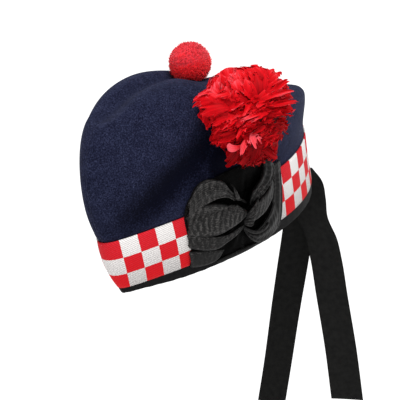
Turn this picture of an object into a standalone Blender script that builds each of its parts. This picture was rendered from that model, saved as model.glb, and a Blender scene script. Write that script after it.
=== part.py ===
"""Glengarry cap with a diced band, a tourie, a feather hackle, a silk rosette and two ribbons.

The cap is modelled level in its own frame (front -Y, back +Y, wearer's left +X, rim at z = 0)
and is then pitched forward by an empty, as it sits on a head. The ribbons hang in the world.
"""
from math import cos, pi, radians, sin, tau

import bmesh
import bpy
import numpy as np
from mathutils import Euler, Matrix, Vector

# Sizes in metres, angles in degrees

# Rim outline, on the outer face of the felt where the band starts
RIM_LENGTH = 0.262
RIM_WIDTH = 0.132
NOSE_ROUND = 0.030        # share of the length that rounds the pointed front
FRONT_FULL = 1.83
BACK_FULL = 2.26
BACK_ROUND = 0.62

# Cloth
FELT = 0.0020
BAND_CLOTH = 0.0012
TAPE = 0.0010             # grosgrain of the binding and the ribbons
SILK = 0.0012             # corded silk of the rosette
GAP = 0.0003              # between pieces that touch

# Upright wall: the bound edge, then the diced band
BINDING_DEPTH = 0.0095
CHECK = 0.0160
CHECK_ROWS = 3
BAND_HEIGHT = CHECK * CHECK_ROWS
WALL_HEIGHT = BINDING_DEPTH + BAND_HEIGHT
BINDING_LEAN = -9.0       # a minus lean turns the outer face down
FRONT_LEAN_LOW = -23.2
FRONT_LEAN_TOP = 6.2
BACK_LEAN_LOW = 1.6
BACK_LEAN_TOP = -7.5
NOSE_LIFT = 0.0045        # how far the rim's edge rises at the pointed front
NOSE_LIFT_REACH = 0.13    # share of the length

# Crown: two side panels that rise to a crease, with a valley between the creases
CROWN_HEIGHT = 0.1650     # rim to the highest part of the crease
CREASE_WIDTH = 0.056      # across both creases where they lie furthest apart
CREASE_FRONT = 0.0212     # how far the crease starts behind the rim's front
CREASE_BACK = 0.0068      # how far it stops before the rim's back
VALLEY_DEPTH = 0.0090
SIDE_ROUND_FRONT = 1.8    # 2 is an elliptic quarter, less is flatter and more is squarer
SIDE_ROUND_BACK = 6.0
SIDE_LENGTH = 0.130       # cloth from the band up to the crease, at mid length
FRONT_BULGE = 0.0086
SIDE_BULGE = 0.0128
BACK_BULGE = 0.0078
# along: share of the crease's length; width and height: shares of CREASE_WIDTH and CROWN_HEIGHT
CREASE_COLUMNS = ("along", "width", "height")
CREASE_ROWS = (
    (0.00, 0.53, 0.927),
    (0.06, 0.53, 0.950),
    (0.18, 0.53, 1.000),
    (0.37, 0.53, 0.989),
    (0.55, 0.65, 0.898),
    (0.80, 0.93, 0.687),
    (0.92, 1.00, 0.600),
    (1.00, 0.90, 0.545),
)
CREASE_END_FRONT = 0.06   # shares of the crease's length that round its two ends
CREASE_END_BACK = 0.10
LEFT_SAG = 0.0045         # how far the left crease lies below the right one
LEFT_SAG_ALONG = 0.32     # where it sags most, and how far that reaches, as shares of the crease
LEFT_SAG_REACH = 0.20

# Tuck: the soft fold where each side panel sags over the band
TUCK_DEPTH = 0.0050
TUCK_HALF_WIDTH = 0.0110
# along: share of the rim's length; up: share of SIDE_LENGTH; depth: share of TUCK_DEPTH
TUCK_COLUMNS = ("along", "up", "depth")
TUCK_ROWS = (
    (0.00, 0.07, 0.10),
    (0.07, 0.12, 0.60),
    (0.14, 0.18, 0.90),
    (0.21, 0.23, 1.00),
    (0.29, 0.29, 0.90),
    (0.36, 0.34, 0.50),
    (0.46, 0.38, 0.00),
    (1.00, 0.38, 0.00),
)

# Tourie: a wool pompom that lies on the creases and presses them down
TOURIE_DIAMETER = 0.0375
TOURIE_ALONG = 0.496      # share of the crease's length
TOURIE_ASIDE = 0.0060     # centre to the wearer's left of the valley's middle
TOURIE_STAND = 0.0152     # centre above the valley floor
TOURIE_PRESS = 0.0075     # on the left crease
TOURIE_PRESS_REACH = 0.022
TOURIE_TUFTS = 90
TOURIE_TUFT_DEPTH = 0.0011

# Rosette on the wearer's left: positions run along the band from the front seam
ROSETTE_FROM_SEAM = 0.073
ROSETTE_WIDTH = 0.102
ROSETTE_HEIGHT = 0.083
ROSETTE_FOOT = 0.0015     # its lower edge above the rim
ROSETTE_PAD = 0.0030      # how far the gathered ground stands off
ROSETTE_CORNER = 3.6      # superellipse power of its outline
LOOP_RISE = 0.0080
KNOT_RISE = 0.0110
# across and up: centre in shares of the rosette; long and wide: half sizes in shares of its
# width; turn: degrees from level; rise: share of LOOP_RISE; power: superellipse power
LOOP_COLUMNS = ("across", "up", "long", "wide", "turn", "rise", "power")
LOOP_ROWS = {
    "rosette_loop_front": (0.285, 0.475, 0.235, 0.150, 4.0, 1.00, 3.0),
    "rosette_loop_back": (0.760, 0.60, 0.225, 0.105, 52.0, 0.95, 2.6),
    "rosette_fold_top": (0.310, 0.815, 0.225, 0.090, 5.0, 0.60, 3.0),
    "rosette_fold_low": (0.290, 0.140, 0.215, 0.080, 8.0, 0.55, 3.0),
    "rosette_fold_back": (0.760, 0.205, 0.170, 0.120, 22.0, 0.75, 2.6),
}
KNOT_ROW = (0.555, 0.385, 0.034, 0.085, 0.0, 1.00, 2.4)

# Hackle: a full blossom of feathers above the rosette
HACKLE_WIDTH = 0.092
HACKLE_HEIGHT = 0.091
HACKLE_DEPTH = 0.062
HACKLE_FROM_SEAM = 0.1405
HACKLE_UP = 0.1210        # centre, measured up the cloth from the rim
HACKLE_STAND = 0.020      # centre off the cloth
HACKLE_TIERS = 5
HACKLE_TIER_TURN = 35.0   # the ruffles climb towards the back
HACKLE_FRILL = 0.0045
HACKLE_PETALS = 11        # petals around one tier
# turn: degrees from the back towards the top, seen from outside; reach: share of its size
HACKLE_COLUMNS = ("turn", "reach")
HACKLE_ROWS = (
    (-180, 0.83),
    (-160, 0.82),
    (-140, 0.97),
    (-115, 1.00),
    (-90, 0.95),
    (-75, 0.85),
    (-60, 0.68),
    (-42, 0.82),
    (-20, 0.93),
    (0, 1.04),
    (20, 1.04),
    (45, 1.00),
    (80, 0.96),
    (115, 0.93),
    (135, 1.00),
    (155, 0.89),
    (180, 0.83),
)

# Ribbons: flat tails sewn in at the back seam
RIBBON_WIDTH = 0.031
RIBBON_DROP_LEFT = 0.222  # seam to the end, straight down
RIBBON_DROP_RIGHT = 0.238
RIBBON_SPLAY_LEFT = 0.0545
RIBBON_SPLAY_RIGHT = 0.0385
RIBBON_STAND = 0.0165     # how far the fold stands off the cap
RIBBON_LAP = 0.0014       # the right tail lies this far behind the left one at the seam
RIBBON_TWIST = 26.0       # degrees that a tail turns about the plumb line
# down: share of the drop; out: share of RIBBON_STAND; left and right: shares of each side's
# splay; turn_left and turn_right: shares of RIBBON_TWIST
RIBBON_COLUMNS = ("down", "out", "left", "right", "turn_left", "turn_right")
RIBBON_ROWS = (
    (0.00, 0.00, 0.07, 0.05, 0.25, 0.25),
    (0.06, 0.76, 0.11, 0.07, 0.45, 0.45),
    (0.14, 1.00, 0.14, 0.10, 0.65, 0.65),
    (0.22, 1.00, 0.18, 0.17, 0.80, 0.80),
    (0.31, 1.00, 0.38, 0.26, 0.95, 0.85),
    (0.40, 1.00, 0.49, 0.36, 1.00, 0.80),
    (0.55, 0.98, 0.62, 0.52, 1.00, 0.55),
    (0.80, 0.94, 0.85, 0.77, 1.00, 0.30),
    (1.00, 0.90, 1.00, 1.00, 1.00, 0.27),
)

# Pose on the head
HEAD_PITCH = 19.4

# Faceting
NOSE_STATIONS = (0.0028, 0.0066)
SIDE_STATIONS = 25

NAVY = "#1E2238"
CHECK_RED = "#D2303C"
BLACK_TAPE = "#232322"
BLACK_SILK = "#2A2A2A"
TOURIE_RED = "#D22C38"
HACKLE_RED = "#C81420"


def column(rows, columns, name):
    """One named column of a table as an array."""
    return np.array([row[columns.index(name)] for row in rows], dtype=float)


def curve(rows, columns, name, at):
    """A smooth curve through one column of a table, read at the places given."""
    x = column(rows, columns, columns[0])
    y = column(rows, columns, name)
    slope = np.gradient(y, x)
    at = np.asarray(at, dtype=float)
    i = np.clip(np.searchsorted(x, at, side="right") - 1, 0, len(x) - 2)
    step = x[i + 1] - x[i]
    s = (at - x[i]) / step
    start = (2 * s**3 - 3 * s**2 + 1) * y[i] + (s**3 - 2 * s**2 + s) * step * slope[i]
    end = (3 * s**2 - 2 * s**3) * y[i + 1] + (s**3 - s**2) * step * slope[i + 1]
    return start + end


def boat(t):
    """Half width of the rim before scaling: a pointed, rounded nose and a full round back."""
    nose = np.sqrt((t + NOSE_ROUND) ** 2 - NOSE_ROUND**2) / np.sqrt(1 + 2 * NOSE_ROUND)
    front = 1 - (1 - np.minimum(nose, 1)) ** FRONT_FULL
    return front * (1 - t**BACK_FULL) ** BACK_ROUND


PITCH = Matrix.Rotation(radians(HEAD_PITCH), 4, "X")
BOAT_WIDEST = boat(np.linspace(0, 1, 501)).max()


def rim(t):
    """Rim outline on the wearer's left: x, y and the outward direction, t = 0 front, 1 back."""
    t = np.asarray(t, dtype=float)

    def place(u):
        return RIM_WIDTH / 2 * boat(u) / BOAT_WIDEST, RIM_LENGTH * (u - 0.5)

    x0, y0 = place(np.clip(t - 1e-4, 0, 1))
    x1, y1 = place(np.clip(t + 1e-4, 0, 1))
    run = np.hypot(x1 - x0, y1 - y0)
    out_x = (y1 - y0) / run
    out_y = (x0 - x1) / run
    ends = (t <= 0) | (t >= 1)
    out_x = np.where(ends, 0.0, out_x)
    out_y = np.where(t <= 0, -1.0, np.where(t >= 1, 1.0, out_y))
    x, y = place(t)
    return x, y, out_x, out_y


def wall(t, h, off=0.0):
    """The upright wall: h up the cloth from the rim's edge, off outward from the felt."""
    x, y, out_x, out_y = rim(t)
    low = np.radians(FRONT_LEAN_LOW + (BACK_LEAN_LOW - FRONT_LEAN_LOW) * t)
    top = np.radians(FRONT_LEAN_TOP + (BACK_LEAN_TOP - FRONT_LEAN_TOP) * t)
    bend = (top - low) / BAND_HEIGHT
    bend = np.where(np.abs(bend) < 1e-3, 1e-3, bend)
    under = np.minimum(h, BINDING_DEPTH)
    over = np.maximum(h - BINDING_DEPTH, 0)
    lean = radians(BINDING_LEAN)
    out = (BINDING_DEPTH - under) * sin(lean) + (np.cos(low + bend * over) - np.cos(low)) / bend
    lift = NOSE_LIFT * np.exp(-((t / NOSE_LIFT_REACH) ** 2))
    z = lift + under * (cos(lean) - lift / BINDING_DEPTH)
    z = z + (np.sin(low + bend * over) - np.sin(low)) / bend
    out = out + off
    return np.stack([x + out_x * out, y + out_y * out, z + 0 * x], axis=-1)


def crease(t, left=1.0):
    """The soft ridge between a side panel and the valley, t = 0 at its front end.

    The hackle's side, with left at 1, sags and is pressed down by the tourie.
    """
    width = CREASE_WIDTH / 2 * curve(CREASE_ROWS, CREASE_COLUMNS, "width", t)
    front = np.clip(t / CREASE_END_FRONT, 0, 1)
    back = np.clip((1 - t) / CREASE_END_BACK, 0, 1)
    width = width * np.sqrt(1 - (1 - front) ** 2) * np.sqrt(1 - (1 - back) ** 2)
    y = (CREASE_FRONT - RIM_LENGTH / 2) * (1 - t) + (RIM_LENGTH / 2 - CREASE_BACK) * t
    press = (t - TOURIE_ALONG) * RIM_LENGTH / TOURIE_PRESS_REACH
    sag = (t - LEFT_SAG_ALONG) / LEFT_SAG_REACH
    drop = TOURIE_PRESS * np.exp(-(press**2)) + LEFT_SAG * np.exp(-(sag**2))
    height = CROWN_HEIGHT * curve(CREASE_ROWS, CREASE_COLUMNS, "height", t) - left * drop
    return np.stack([width, y, height], axis=-1)


def side(t, v, left=1.0):
    """A side panel: v = 0 on top of the wall, 1 on the crease."""
    foot = wall(t, WALL_HEIGHT)
    ridge = crease(t, left)
    power = 2 / (SIDE_ROUND_FRONT + (SIDE_ROUND_BACK - SIDE_ROUND_FRONT) * t**2)
    inward = 1 - np.maximum(np.cos(v * pi / 2), 0) ** power
    upward = np.sin(v * pi / 2) ** power
    point = foot + (ridge - foot) * np.stack([inward, inward, upward], axis=-1)
    out = (foot - ridge)[..., :2]
    out = out / np.maximum(np.linalg.norm(out, axis=-1, keepdims=True), 1e-9)
    bulge = FRONT_BULGE * (1 - t) ** 2 + 2 * SIDE_BULGE * t * (1 - t) + BACK_BULGE * t**2
    push = bulge * np.sin(pi * v**0.7)
    fold = (v - curve(TUCK_ROWS, TUCK_COLUMNS, "up", t)) * SIDE_LENGTH / TUCK_HALF_WIDTH
    depth = TUCK_DEPTH * curve(TUCK_ROWS, TUCK_COLUMNS, "depth", t)
    push = push - depth * np.exp(-(fold**2)) * np.clip(v / 0.08, 0, 1)
    point[..., :2] += out * push[..., None]
    return point


def valley(t, q, left=1.0):
    """The sunken top: q = 0 on the crease, 1 on the centre line, where both sides meet."""
    ridge = crease(t, left * (1 - q))
    sink = VALLEY_DEPTH * np.sin(pi * t) ** 0.6 * q**2 * (3 - 2 * q)
    return ridge * np.stack([1 - q, 1 + 0 * q, 1 + 0 * q], axis=-1) - np.stack(
        [0 * sink, 0 * sink, sink], axis=-1)


PANEL_V = np.linspace(0, 1, 81)
PANEL_T = np.linspace(0, 1, 81)
PANEL_STEPS = np.linalg.norm(np.diff(side(*np.meshgrid(PANEL_T, PANEL_V)), axis=0), axis=-1)
PANEL_RUN = np.vstack([np.zeros(len(PANEL_T)), np.cumsum(PANEL_STEPS, axis=0)]).T


@np.vectorize
def climb(t, run):
    """The share v of a side panel that lies this far up its cloth from the wall."""
    return np.interp(run, PANEL_RUN[round(t * (len(PANEL_T) - 1))], PANEL_V)


def skin(t, h, off=0.0):
    """The outside of the cap: h up the cloth from the rim, off along the outward normal."""
    t, h, off = np.broadcast_arrays(*(np.asarray(a, dtype=float) for a in (t, h, off)))

    def bare(u, g):
        return np.where((g <= WALL_HEIGHT)[..., None], wall(u, np.minimum(g, WALL_HEIGHT)),
                        side(u, climb(t, np.maximum(g - WALL_HEIGHT, 0))))

    point = bare(t, h)
    across = bare(np.clip(t + 0.01, 0, 1), h) - bare(np.clip(t - 0.01, 0, 1), h)
    up = bare(t, h + 0.004) - bare(t, np.maximum(h - 0.004, 0))
    normal = np.cross(across, up)
    normal /= np.maximum(np.linalg.norm(normal, axis=-1, keepdims=True), 1e-12)
    return point + normal * off[..., None]


FINE = (1 - np.cos(pi * np.linspace(0, 1, 801))) / 2
FINE_RUN = np.r_[0, np.cumsum(np.linalg.norm(np.diff(wall(FINE, WALL_HEIGHT), axis=0), axis=1))]


def along(run):
    """The station t that lies this far along the band's top edge from the front seam."""
    return np.interp(run, FINE_RUN, FINE)


def stations():
    """Stations from the front seam to the back, closer together at the nose."""
    even = np.linspace(NOSE_STATIONS[-1], FINE_RUN[-1], SIDE_STATIONS)
    return along(np.r_[0, NOSE_STATIONS[:-1], even])


def material(name, hex_colour, roughness):
    """A Principled material with one colour, given as sRGB."""
    srgb = [int(hex_colour[i:i + 2], 16) / 255 for i in (1, 3, 5)]
    linear = [c / 12.92 if c <= 0.04045 else ((c + 0.055) / 1.055) ** 2.4 for c in srgb]
    made = bpy.data.materials.new(name)
    made.use_nodes = True
    shader = made.node_tree.nodes["Principled BSDF"]
    shader.inputs["Base Color"].default_value = (*linear, 1)
    shader.inputs["Roughness"].default_value = roughness
    shader.inputs["Metallic"].default_value = 0
    made.diffuse_color = (*linear, 1)
    return made


def add(name, mesh, finish, parent=None):
    """An object in the cap's collection with its own material."""
    made = bpy.data.objects.new(name, mesh)
    cap.objects.link(made)
    mesh.materials.append(material(name + "_finish", *finish))
    mesh.shade_smooth()
    mesh.set_sharp_from_angle(angle=radians(50))
    made.parent = parent
    return made


def sheet_mesh(name, grid):
    """A mesh from a grid of points; rows that shrink to one point are welded."""
    rows, columns = grid.shape[:2]
    index = np.arange(rows * columns).reshape(rows, columns)
    quads = np.stack([index[:-1, :-1], index[1:, :-1], index[1:, 1:], index[:-1, 1:]], axis=-1)
    mesh = bpy.data.meshes.new(name)
    mesh.from_pydata(grid.reshape(-1, 3).tolist(), [], quads.reshape(-1, 4).tolist())
    shape = bmesh.new()
    shape.from_mesh(mesh)
    bmesh.ops.remove_doubles(shape, verts=shape.verts, dist=1e-6)
    bmesh.ops.dissolve_degenerate(shape, edges=shape.edges, dist=1e-7)
    shape.to_mesh(mesh)
    shape.free()
    return mesh


def solid_mesh(name, top, bottom):
    """A closed solid between two grids of the same size that run round a centre column."""
    def ring_faces(index, flip):
        around = np.roll(index, -1, axis=0)
        quads = np.stack([index[:, :-1], around[:, :-1], around[:, 1:], index[:, 1:]], axis=-1)
        return (quads[..., ::-1] if flip else quads).reshape(-1, 4)

    rows, columns = top.shape[:2]
    upper = np.arange(rows * columns).reshape(rows, columns)
    lower = upper + rows * columns
    edge = np.stack([upper[:, -1], np.roll(upper[:, -1], -1), np.roll(lower[:, -1], -1),
                     lower[:, -1]], axis=-1)
    faces = np.vstack([ring_faces(upper, True), ring_faces(lower, False), edge])
    mesh = bpy.data.meshes.new(name)
    mesh.from_pydata(np.vstack([top.reshape(-1, 3), bottom.reshape(-1, 3)]).tolist(), [],
                     faces.tolist())
    shape = bmesh.new()
    shape.from_mesh(mesh)
    bmesh.ops.remove_doubles(shape, verts=shape.verts, dist=1e-6)
    bmesh.ops.recalc_face_normals(shape, faces=shape.faces)
    shape.to_mesh(mesh)
    shape.free()
    return mesh


def mirrored(piece):
    """Both halves of the cap from the wearer's left half."""
    mirror = piece.modifiers.new("both sides", "MIRROR")
    mirror.use_axis = (True, False, False)
    mirror.use_clip = True
    mirror.merge_threshold = 0.0001


def thickened(piece, thickness, offset):
    """A cloth wall from an open surface: offset -1 grows inward, 1 outward."""
    wall_of = piece.modifiers.new("cloth", "SOLIDIFY")
    wall_of.thickness = thickness
    wall_of.offset = offset


def crown():
    """The felt body: wall, side panel and valley as one open surface for each side, thickened."""
    t = stations()
    wall_rows = [0.0, BINDING_DEPTH]
    wall_rows += [BINDING_DEPTH + CHECK * (row + 1) for row in range(CHECK_ROWS)]
    halves = []
    for left in (1.0, 0.0):
        rows = [wall(t, h) for h in wall_rows]
        rows += [side(t, np.full_like(t, v), left) for v in (0.07, 0.14, 0.21, 0.29, 0.39, 0.52,
                                                             0.66, 0.79, 0.90, 1.0)]
        rows += [valley(t, np.full_like(t, q), left) for q in (0.3, 0.62, 1.0)]
        grid = np.stack(rows)
        grid[:, 0, 0] = 0
        grid[:, -1, 0] = 0
        halves.append(grid)
    grid = np.concatenate([halves[0], halves[1][-2::-1] * np.array([-1, 1, 1])])
    piece = add("crown", sheet_mesh("crown", grid[::-1]), (NAVY, 0.95), tilt)
    thickened(piece, FELT, -1)


def dice_band():
    """The woven band round the wall, three checks high."""
    t = stations()
    levels = [BINDING_DEPTH + GAP]
    levels += [BINDING_DEPTH + CHECK * row for row in range(1, CHECK_ROWS)]
    levels += [WALL_HEIGHT - GAP]
    grid = np.stack([wall(t, h, GAP) for h in levels])
    grid[:, 0, 0] = 0
    grid[:, -1, 0] = 0
    piece = add("dice_band", sheet_mesh("dice_band", grid[::-1]), (CHECK_RED, 0.85), tilt)
    mirrored(piece)
    thickened(piece, BAND_CLOTH, 1)


def rim_binding():
    """Grosgrain folded over the felt's lower edge, a U section carried round the rim."""
    t = stations()
    outer = GAP + TAPE
    inner = FELT / cos(radians(BINDING_LEAN)) + GAP
    top = BINDING_DEPTH - GAP
    bottom = GAP + TAPE
    section = ((outer, top), (outer, 0.0), (outer - TAPE / 2, -bottom), (-inner - TAPE / 2, -bottom),
               (-inner - TAPE, 0.0), (-inner - TAPE, top), (-inner, top), (-inner, -GAP),
               (GAP, -GAP), (GAP, top))
    half = np.stack([wall(t, max(h, 0.0), off) + np.array([0, 0, min(h, 0.0)])
                     for off, h in section], axis=1)
    half[0, :, 0] = 0
    half[-1, :, 0] = 0
    other = half[-2:0:-1] * np.array([-1, 1, 1])
    grid = np.vstack([half, other])
    count, corners = grid.shape[:2]
    index = np.arange(count * corners).reshape(count, corners)
    after = np.roll(index, -1, axis=0)
    faces = np.stack([index, np.roll(index, -1, axis=1), np.roll(after, -1, axis=1), after],
                     axis=-1)
    mesh = bpy.data.meshes.new("rim_binding")
    mesh.from_pydata(grid.reshape(-1, 3).tolist(), [], faces.reshape(-1, 4).tolist())
    shape = bmesh.new()
    shape.from_mesh(mesh)
    bmesh.ops.recalc_face_normals(shape, faces=shape.faces)
    shape.to_mesh(mesh)
    shape.free()
    add("rim_binding", mesh, (BLACK_TAPE, 0.7), tilt)


def seat_cutter():
    """The space that the cap and the rosette take up, cut out of the tourie and the hackle."""
    t = np.linspace(0.02, 0.98, 40)
    heights = np.linspace(0.004, WALL_HEIGHT + SIDE_LENGTH, 34)
    grid_t, grid_h = np.meshgrid(t, heights)
    rosette_top = ROSETTE_FOOT + ROSETTE_HEIGHT
    under = np.clip((rosette_top + 0.006 - grid_h) / 0.006, 0, 1)
    step = ROSETTE_BASE + ROSETTE_PAD + LOOP_RISE * 0.6 + 3 * GAP
    face = skin(grid_t, grid_h, 4 * GAP + (step - 4 * GAP) * under)
    halves = []
    for left in (1.0, 0.0):
        top = valley(*np.meshgrid(t, np.linspace(0.2, 1, 5)), left)
        top[..., 2] += 3 * GAP
        halves.append(np.concatenate([face, top]))
    rows = np.concatenate([halves[0], halves[1][-2::-1] * np.array([-1, 1, 1])])
    count, width = rows.shape[:2]
    shape = bmesh.new()
    verts = [[shape.verts.new(point) for point in row] for row in rows]
    for i in range(count):
        j = (i + 1) % count
        for k in range(width - 1):
            shape.faces.new((verts[i][k], verts[i][k + 1], verts[j][k + 1], verts[j][k]))
    shape.faces.new([verts[i][0] for i in range(count)])
    shape.faces.new([verts[i][-1] for i in reversed(range(count))])
    bmesh.ops.triangulate(shape, faces=[f for f in shape.faces if len(f.verts) > 4])
    bmesh.ops.recalc_face_normals(shape, faces=shape.faces)
    mesh = bpy.data.meshes.new("seat_cutter")
    shape.to_mesh(mesh)
    shape.free()
    cutter = bpy.data.objects.new("seat_cutter", mesh)
    cutter.display_type = "WIRE"
    cutter.hide_render = True
    cutters.objects.link(cutter)
    cutter.parent = tilt
    return cutter


def seated(piece, cutter):
    """The piece without the part of it that would lie inside the cap."""
    cut = piece.modifiers.new("seat", "BOOLEAN")
    cut.operation = "DIFFERENCE"
    cut.object = cutter


def tourie(cutter):
    """A wool ball of clipped tufts, sunk a little into the valley and square to its slope."""
    seat, ahead = valley(TOURIE_ALONG + np.array([0, 0.02]), np.ones(2))
    slope = np.arctan2(ahead[2] - seat[2], ahead[1] - seat[1])
    shape = bmesh.new()
    bmesh.ops.create_icosphere(shape, subdivisions=4, radius=1)
    step = pi * (3 - 5**0.5)
    number = np.arange(TOURIE_TUFTS)
    height = 1 - 2 * (number + 0.5) / TOURIE_TUFTS
    ring = np.sqrt(1 - height**2)
    tufts = np.stack([ring * np.cos(step * number), ring * np.sin(step * number), height], axis=1)
    for vertex in shape.verts:
        near = np.sort(tufts @ np.array(vertex.co.normalized()))[-2:]
        parting = np.clip(1 - (near[1] - near[0]) * 9, 0, 1)
        vertex.co = vertex.co.normalized() * (TOURIE_DIAMETER / 2 - TOURIE_TUFT_DEPTH * parting)
    mesh = bpy.data.meshes.new("tourie")
    shape.to_mesh(mesh)
    shape.free()
    piece = add("tourie", mesh, (TOURIE_RED, 0.95), tilt)
    piece.location = Vector(seat) + Vector((0, -sin(slope), cos(slope))) * TOURIE_STAND
    piece.location.x = TOURIE_ASIDE
    piece.rotation_euler = Euler((slope, 0, 0))
    seated(piece, cutter)


def patch(across, up, half_long, half_wide, turn, power, rings, spokes):
    """Places inside a superellipse on the cap's skin: run along the band, height up the cloth."""
    angle = np.linspace(0, tau, spokes, endpoint=False)[:, None]
    reach = np.linspace(0, 1, rings)[None, :]
    edge = (np.abs(np.cos(angle)) ** power + np.abs(np.sin(angle)) ** power) ** (-1 / power)
    long_way = half_long * reach * edge * np.cos(angle)
    wide_way = half_wide * reach * edge * np.sin(angle)
    run = across + long_way * cos(radians(turn)) - wide_way * sin(radians(turn))
    height = up + long_way * sin(radians(turn)) + wide_way * cos(radians(turn))
    return run, height, reach + 0 * angle


def puff(name, run, height, base, rise, roughness):
    """A solid of gathered silk on the skin: base off the cloth below, rise thick."""
    t = along(run)
    bottom = skin(t, height, base)
    top = skin(t, height, base + rise)
    add(name, solid_mesh(name, top, bottom), (BLACK_SILK, roughness), tilt)


ROSETTE_BASE = 2 * GAP + max(BAND_CLOTH, TAPE)


def ground_rise(run, height):
    """Thickness of the gathered ground at a place in the rosette."""
    across = np.abs(run - ROSETTE_FROM_SEAM) * 2 / ROSETTE_WIDTH - 1
    up = np.abs(height - ROSETTE_FOOT) * 2 / ROSETTE_HEIGHT - 1
    power = ROSETTE_CORNER
    reach = (np.abs(across) ** power + np.abs(up) ** power) ** (1 / power)
    return SILK + (ROSETTE_PAD - SILK) * (1 - np.minimum(reach, 1) ** 3)


def on_ground(name, values, rings, spokes, highest):
    """A loop, fold or knot that lies on the gathered ground, placed in shares of the rosette."""
    run, height, reach = patch(ROSETTE_FROM_SEAM + ROSETTE_WIDTH * values["across"],
                               ROSETTE_FOOT + ROSETTE_HEIGHT * values["up"],
                               ROSETTE_WIDTH * values["long"], ROSETTE_WIDTH * values["wide"],
                               values["turn"], values["power"], rings, spokes)
    rise = SILK + (highest * values["rise"] - SILK) * (1 - reach**2.5)
    base = ROSETTE_BASE + ground_rise(run, height) + 3 * GAP
    puff(name, run, height, base, rise, 0.5)


def rosette():
    """The gathered ground, its loops and folds, and the knot that pinches them."""
    run, height, _ = patch(ROSETTE_FROM_SEAM + ROSETTE_WIDTH / 2,
                           ROSETTE_FOOT + ROSETTE_HEIGHT / 2, ROSETTE_WIDTH / 2,
                           ROSETTE_HEIGHT / 2, 0, ROSETTE_CORNER, 7, 40)
    puff("rosette_ground", run, height, ROSETTE_BASE, ground_rise(run, height), 0.55)
    for name, row in LOOP_ROWS.items():
        on_ground(name, dict(zip(LOOP_COLUMNS, row)), 4, 24, LOOP_RISE)
    on_ground("rosette_knot", dict(zip(LOOP_COLUMNS, KNOT_ROW)), 4, 16, KNOT_RISE)


def hackle(cutter):
    """A blossom of feathers in climbing tiers of petals, cut to sit on the cap's side.

    It is an ellipsoid whose outline follows the table; the outline fades towards its face.
    """
    t = along(np.array([HACKLE_FROM_SEAM]))
    foot = skin(t, HACKLE_UP)[0]
    centre = skin(t, HACKLE_UP, HACKLE_STAND)[0]
    out = Vector(centre - foot).normalized()
    back = Vector((0, 0, 1)).cross(out).normalized()
    up = out.cross(back).normalized()
    shape = bmesh.new()
    bmesh.ops.create_uvsphere(shape, u_segments=42, v_segments=18, radius=1)
    climb = radians(HACKLE_TIER_TURN)
    for vertex in shape.verts:
        way = vertex.co.normalized()
        level = way.z
        spin = np.arctan2(way.y, way.x)
        tier = (level + 1) / 2 * HACKLE_TIERS
        step = tier % 1.0
        petal = cos(HACKLE_PETALS * spin + 1.7 * int(tier))
        frill = HACKLE_FRILL * ((0.5 - step) + 0.35 * petal) * (1 - level**6)
        turned = Matrix.Rotation(climb, 3, "Y") @ Vector((way.x, way.y, way.z))
        size = Vector((HACKLE_WIDTH / 2, HACKLE_DEPTH / 2, HACKLE_HEIGHT / 2))
        size -= Vector((HACKLE_FRILL, HACKLE_FRILL, HACKLE_FRILL)) * 0.6
        radius = 1 / ((turned.x / size.x) ** 2 + (turned.y / size.y) ** 2
                      + (turned.z / size.z) ** 2) ** 0.5
        turn = np.degrees(np.arctan2(turned.z, turned.x))
        reach = curve(HACKLE_ROWS, HACKLE_COLUMNS, "reach", turn)
        radius *= 1 + (float(reach) - 1) * (1 - turned.y**2)
        vertex.co = turned * (radius + frill)
    mesh = bpy.data.meshes.new("hackle")
    shape.to_mesh(mesh)
    shape.free()
    piece = add("hackle", mesh, (HACKLE_RED, 0.8), tilt)
    frame = Matrix((back, -out, up)).transposed().to_4x4()
    frame.translation = Vector(centre)
    piece.matrix_local = frame
    seated(piece, cutter)


def ribbon(hand, way, drop, splay, lap):
    """A tail from the back seam: it stands off the cap, folds over and hangs."""
    seam = PITCH @ Vector(wall(np.array([1.0]), BINDING_DEPTH / 2)[0])
    down = np.linspace(0, 1, 20) ** 1.2

    def read(name):
        return curve(RIBBON_ROWS, RIBBON_COLUMNS, name, down)

    start = seam.y + BAND_CLOTH + TAPE + 3 * GAP + lap
    centre = np.stack([way * splay * read(hand), start + RIBBON_STAND * read("out"),
                       seam.z - drop * down], axis=1)
    turn = np.radians(RIBBON_TWIST * read("turn_" + hand))
    across = np.stack([np.cos(turn), np.sin(turn), 0 * turn], axis=1) * RIBBON_WIDTH
    share = np.linspace(-0.5, 0.5, 4)[:, None, None]
    grid = centre[None] + across[None] * share
    name = "ribbon_" + hand
    piece = add(name, sheet_mesh(name, grid), (BLACK_TAPE, 0.7))
    thickened(piece, TAPE, 0)


for old in list(bpy.data.objects):
    bpy.data.objects.remove(old)

cap = bpy.data.collections.new("glengarry_cap")
cutters = bpy.data.collections.new("cutters")
bpy.context.scene.collection.children.link(cap)
bpy.context.scene.collection.children.link(cutters)

tilt = bpy.data.objects.new("head_pitch", None)
tilt.matrix_local = PITCH
cap.objects.link(tilt)

crown()
dice_band()
rim_binding()
rosette()
seat = seat_cutter()
tourie(seat)
hackle(seat)
ribbon("left", 1, RIBBON_DROP_LEFT, RIBBON_SPLAY_LEFT, 0.0)
ribbon("right", -1, RIBBON_DROP_RIGHT, RIBBON_SPLAY_RIGHT, RIBBON_LAP)
bpy.context.view_layer.update()
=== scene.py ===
"""Looks of a glengarry cap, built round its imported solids, in metres.

The cap's own frame is level: front -Y, back +Y, wearer's left +X, the rim's edge at z = 0. It is
pitched forward as the cap sits on a head, and the ribbons hang plumb in the world.
"""

from math import cos, pi, radians, sin
from types import SimpleNamespace

import bmesh
import bpy
import numpy as np
from mathutils import Matrix, Vector


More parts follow.
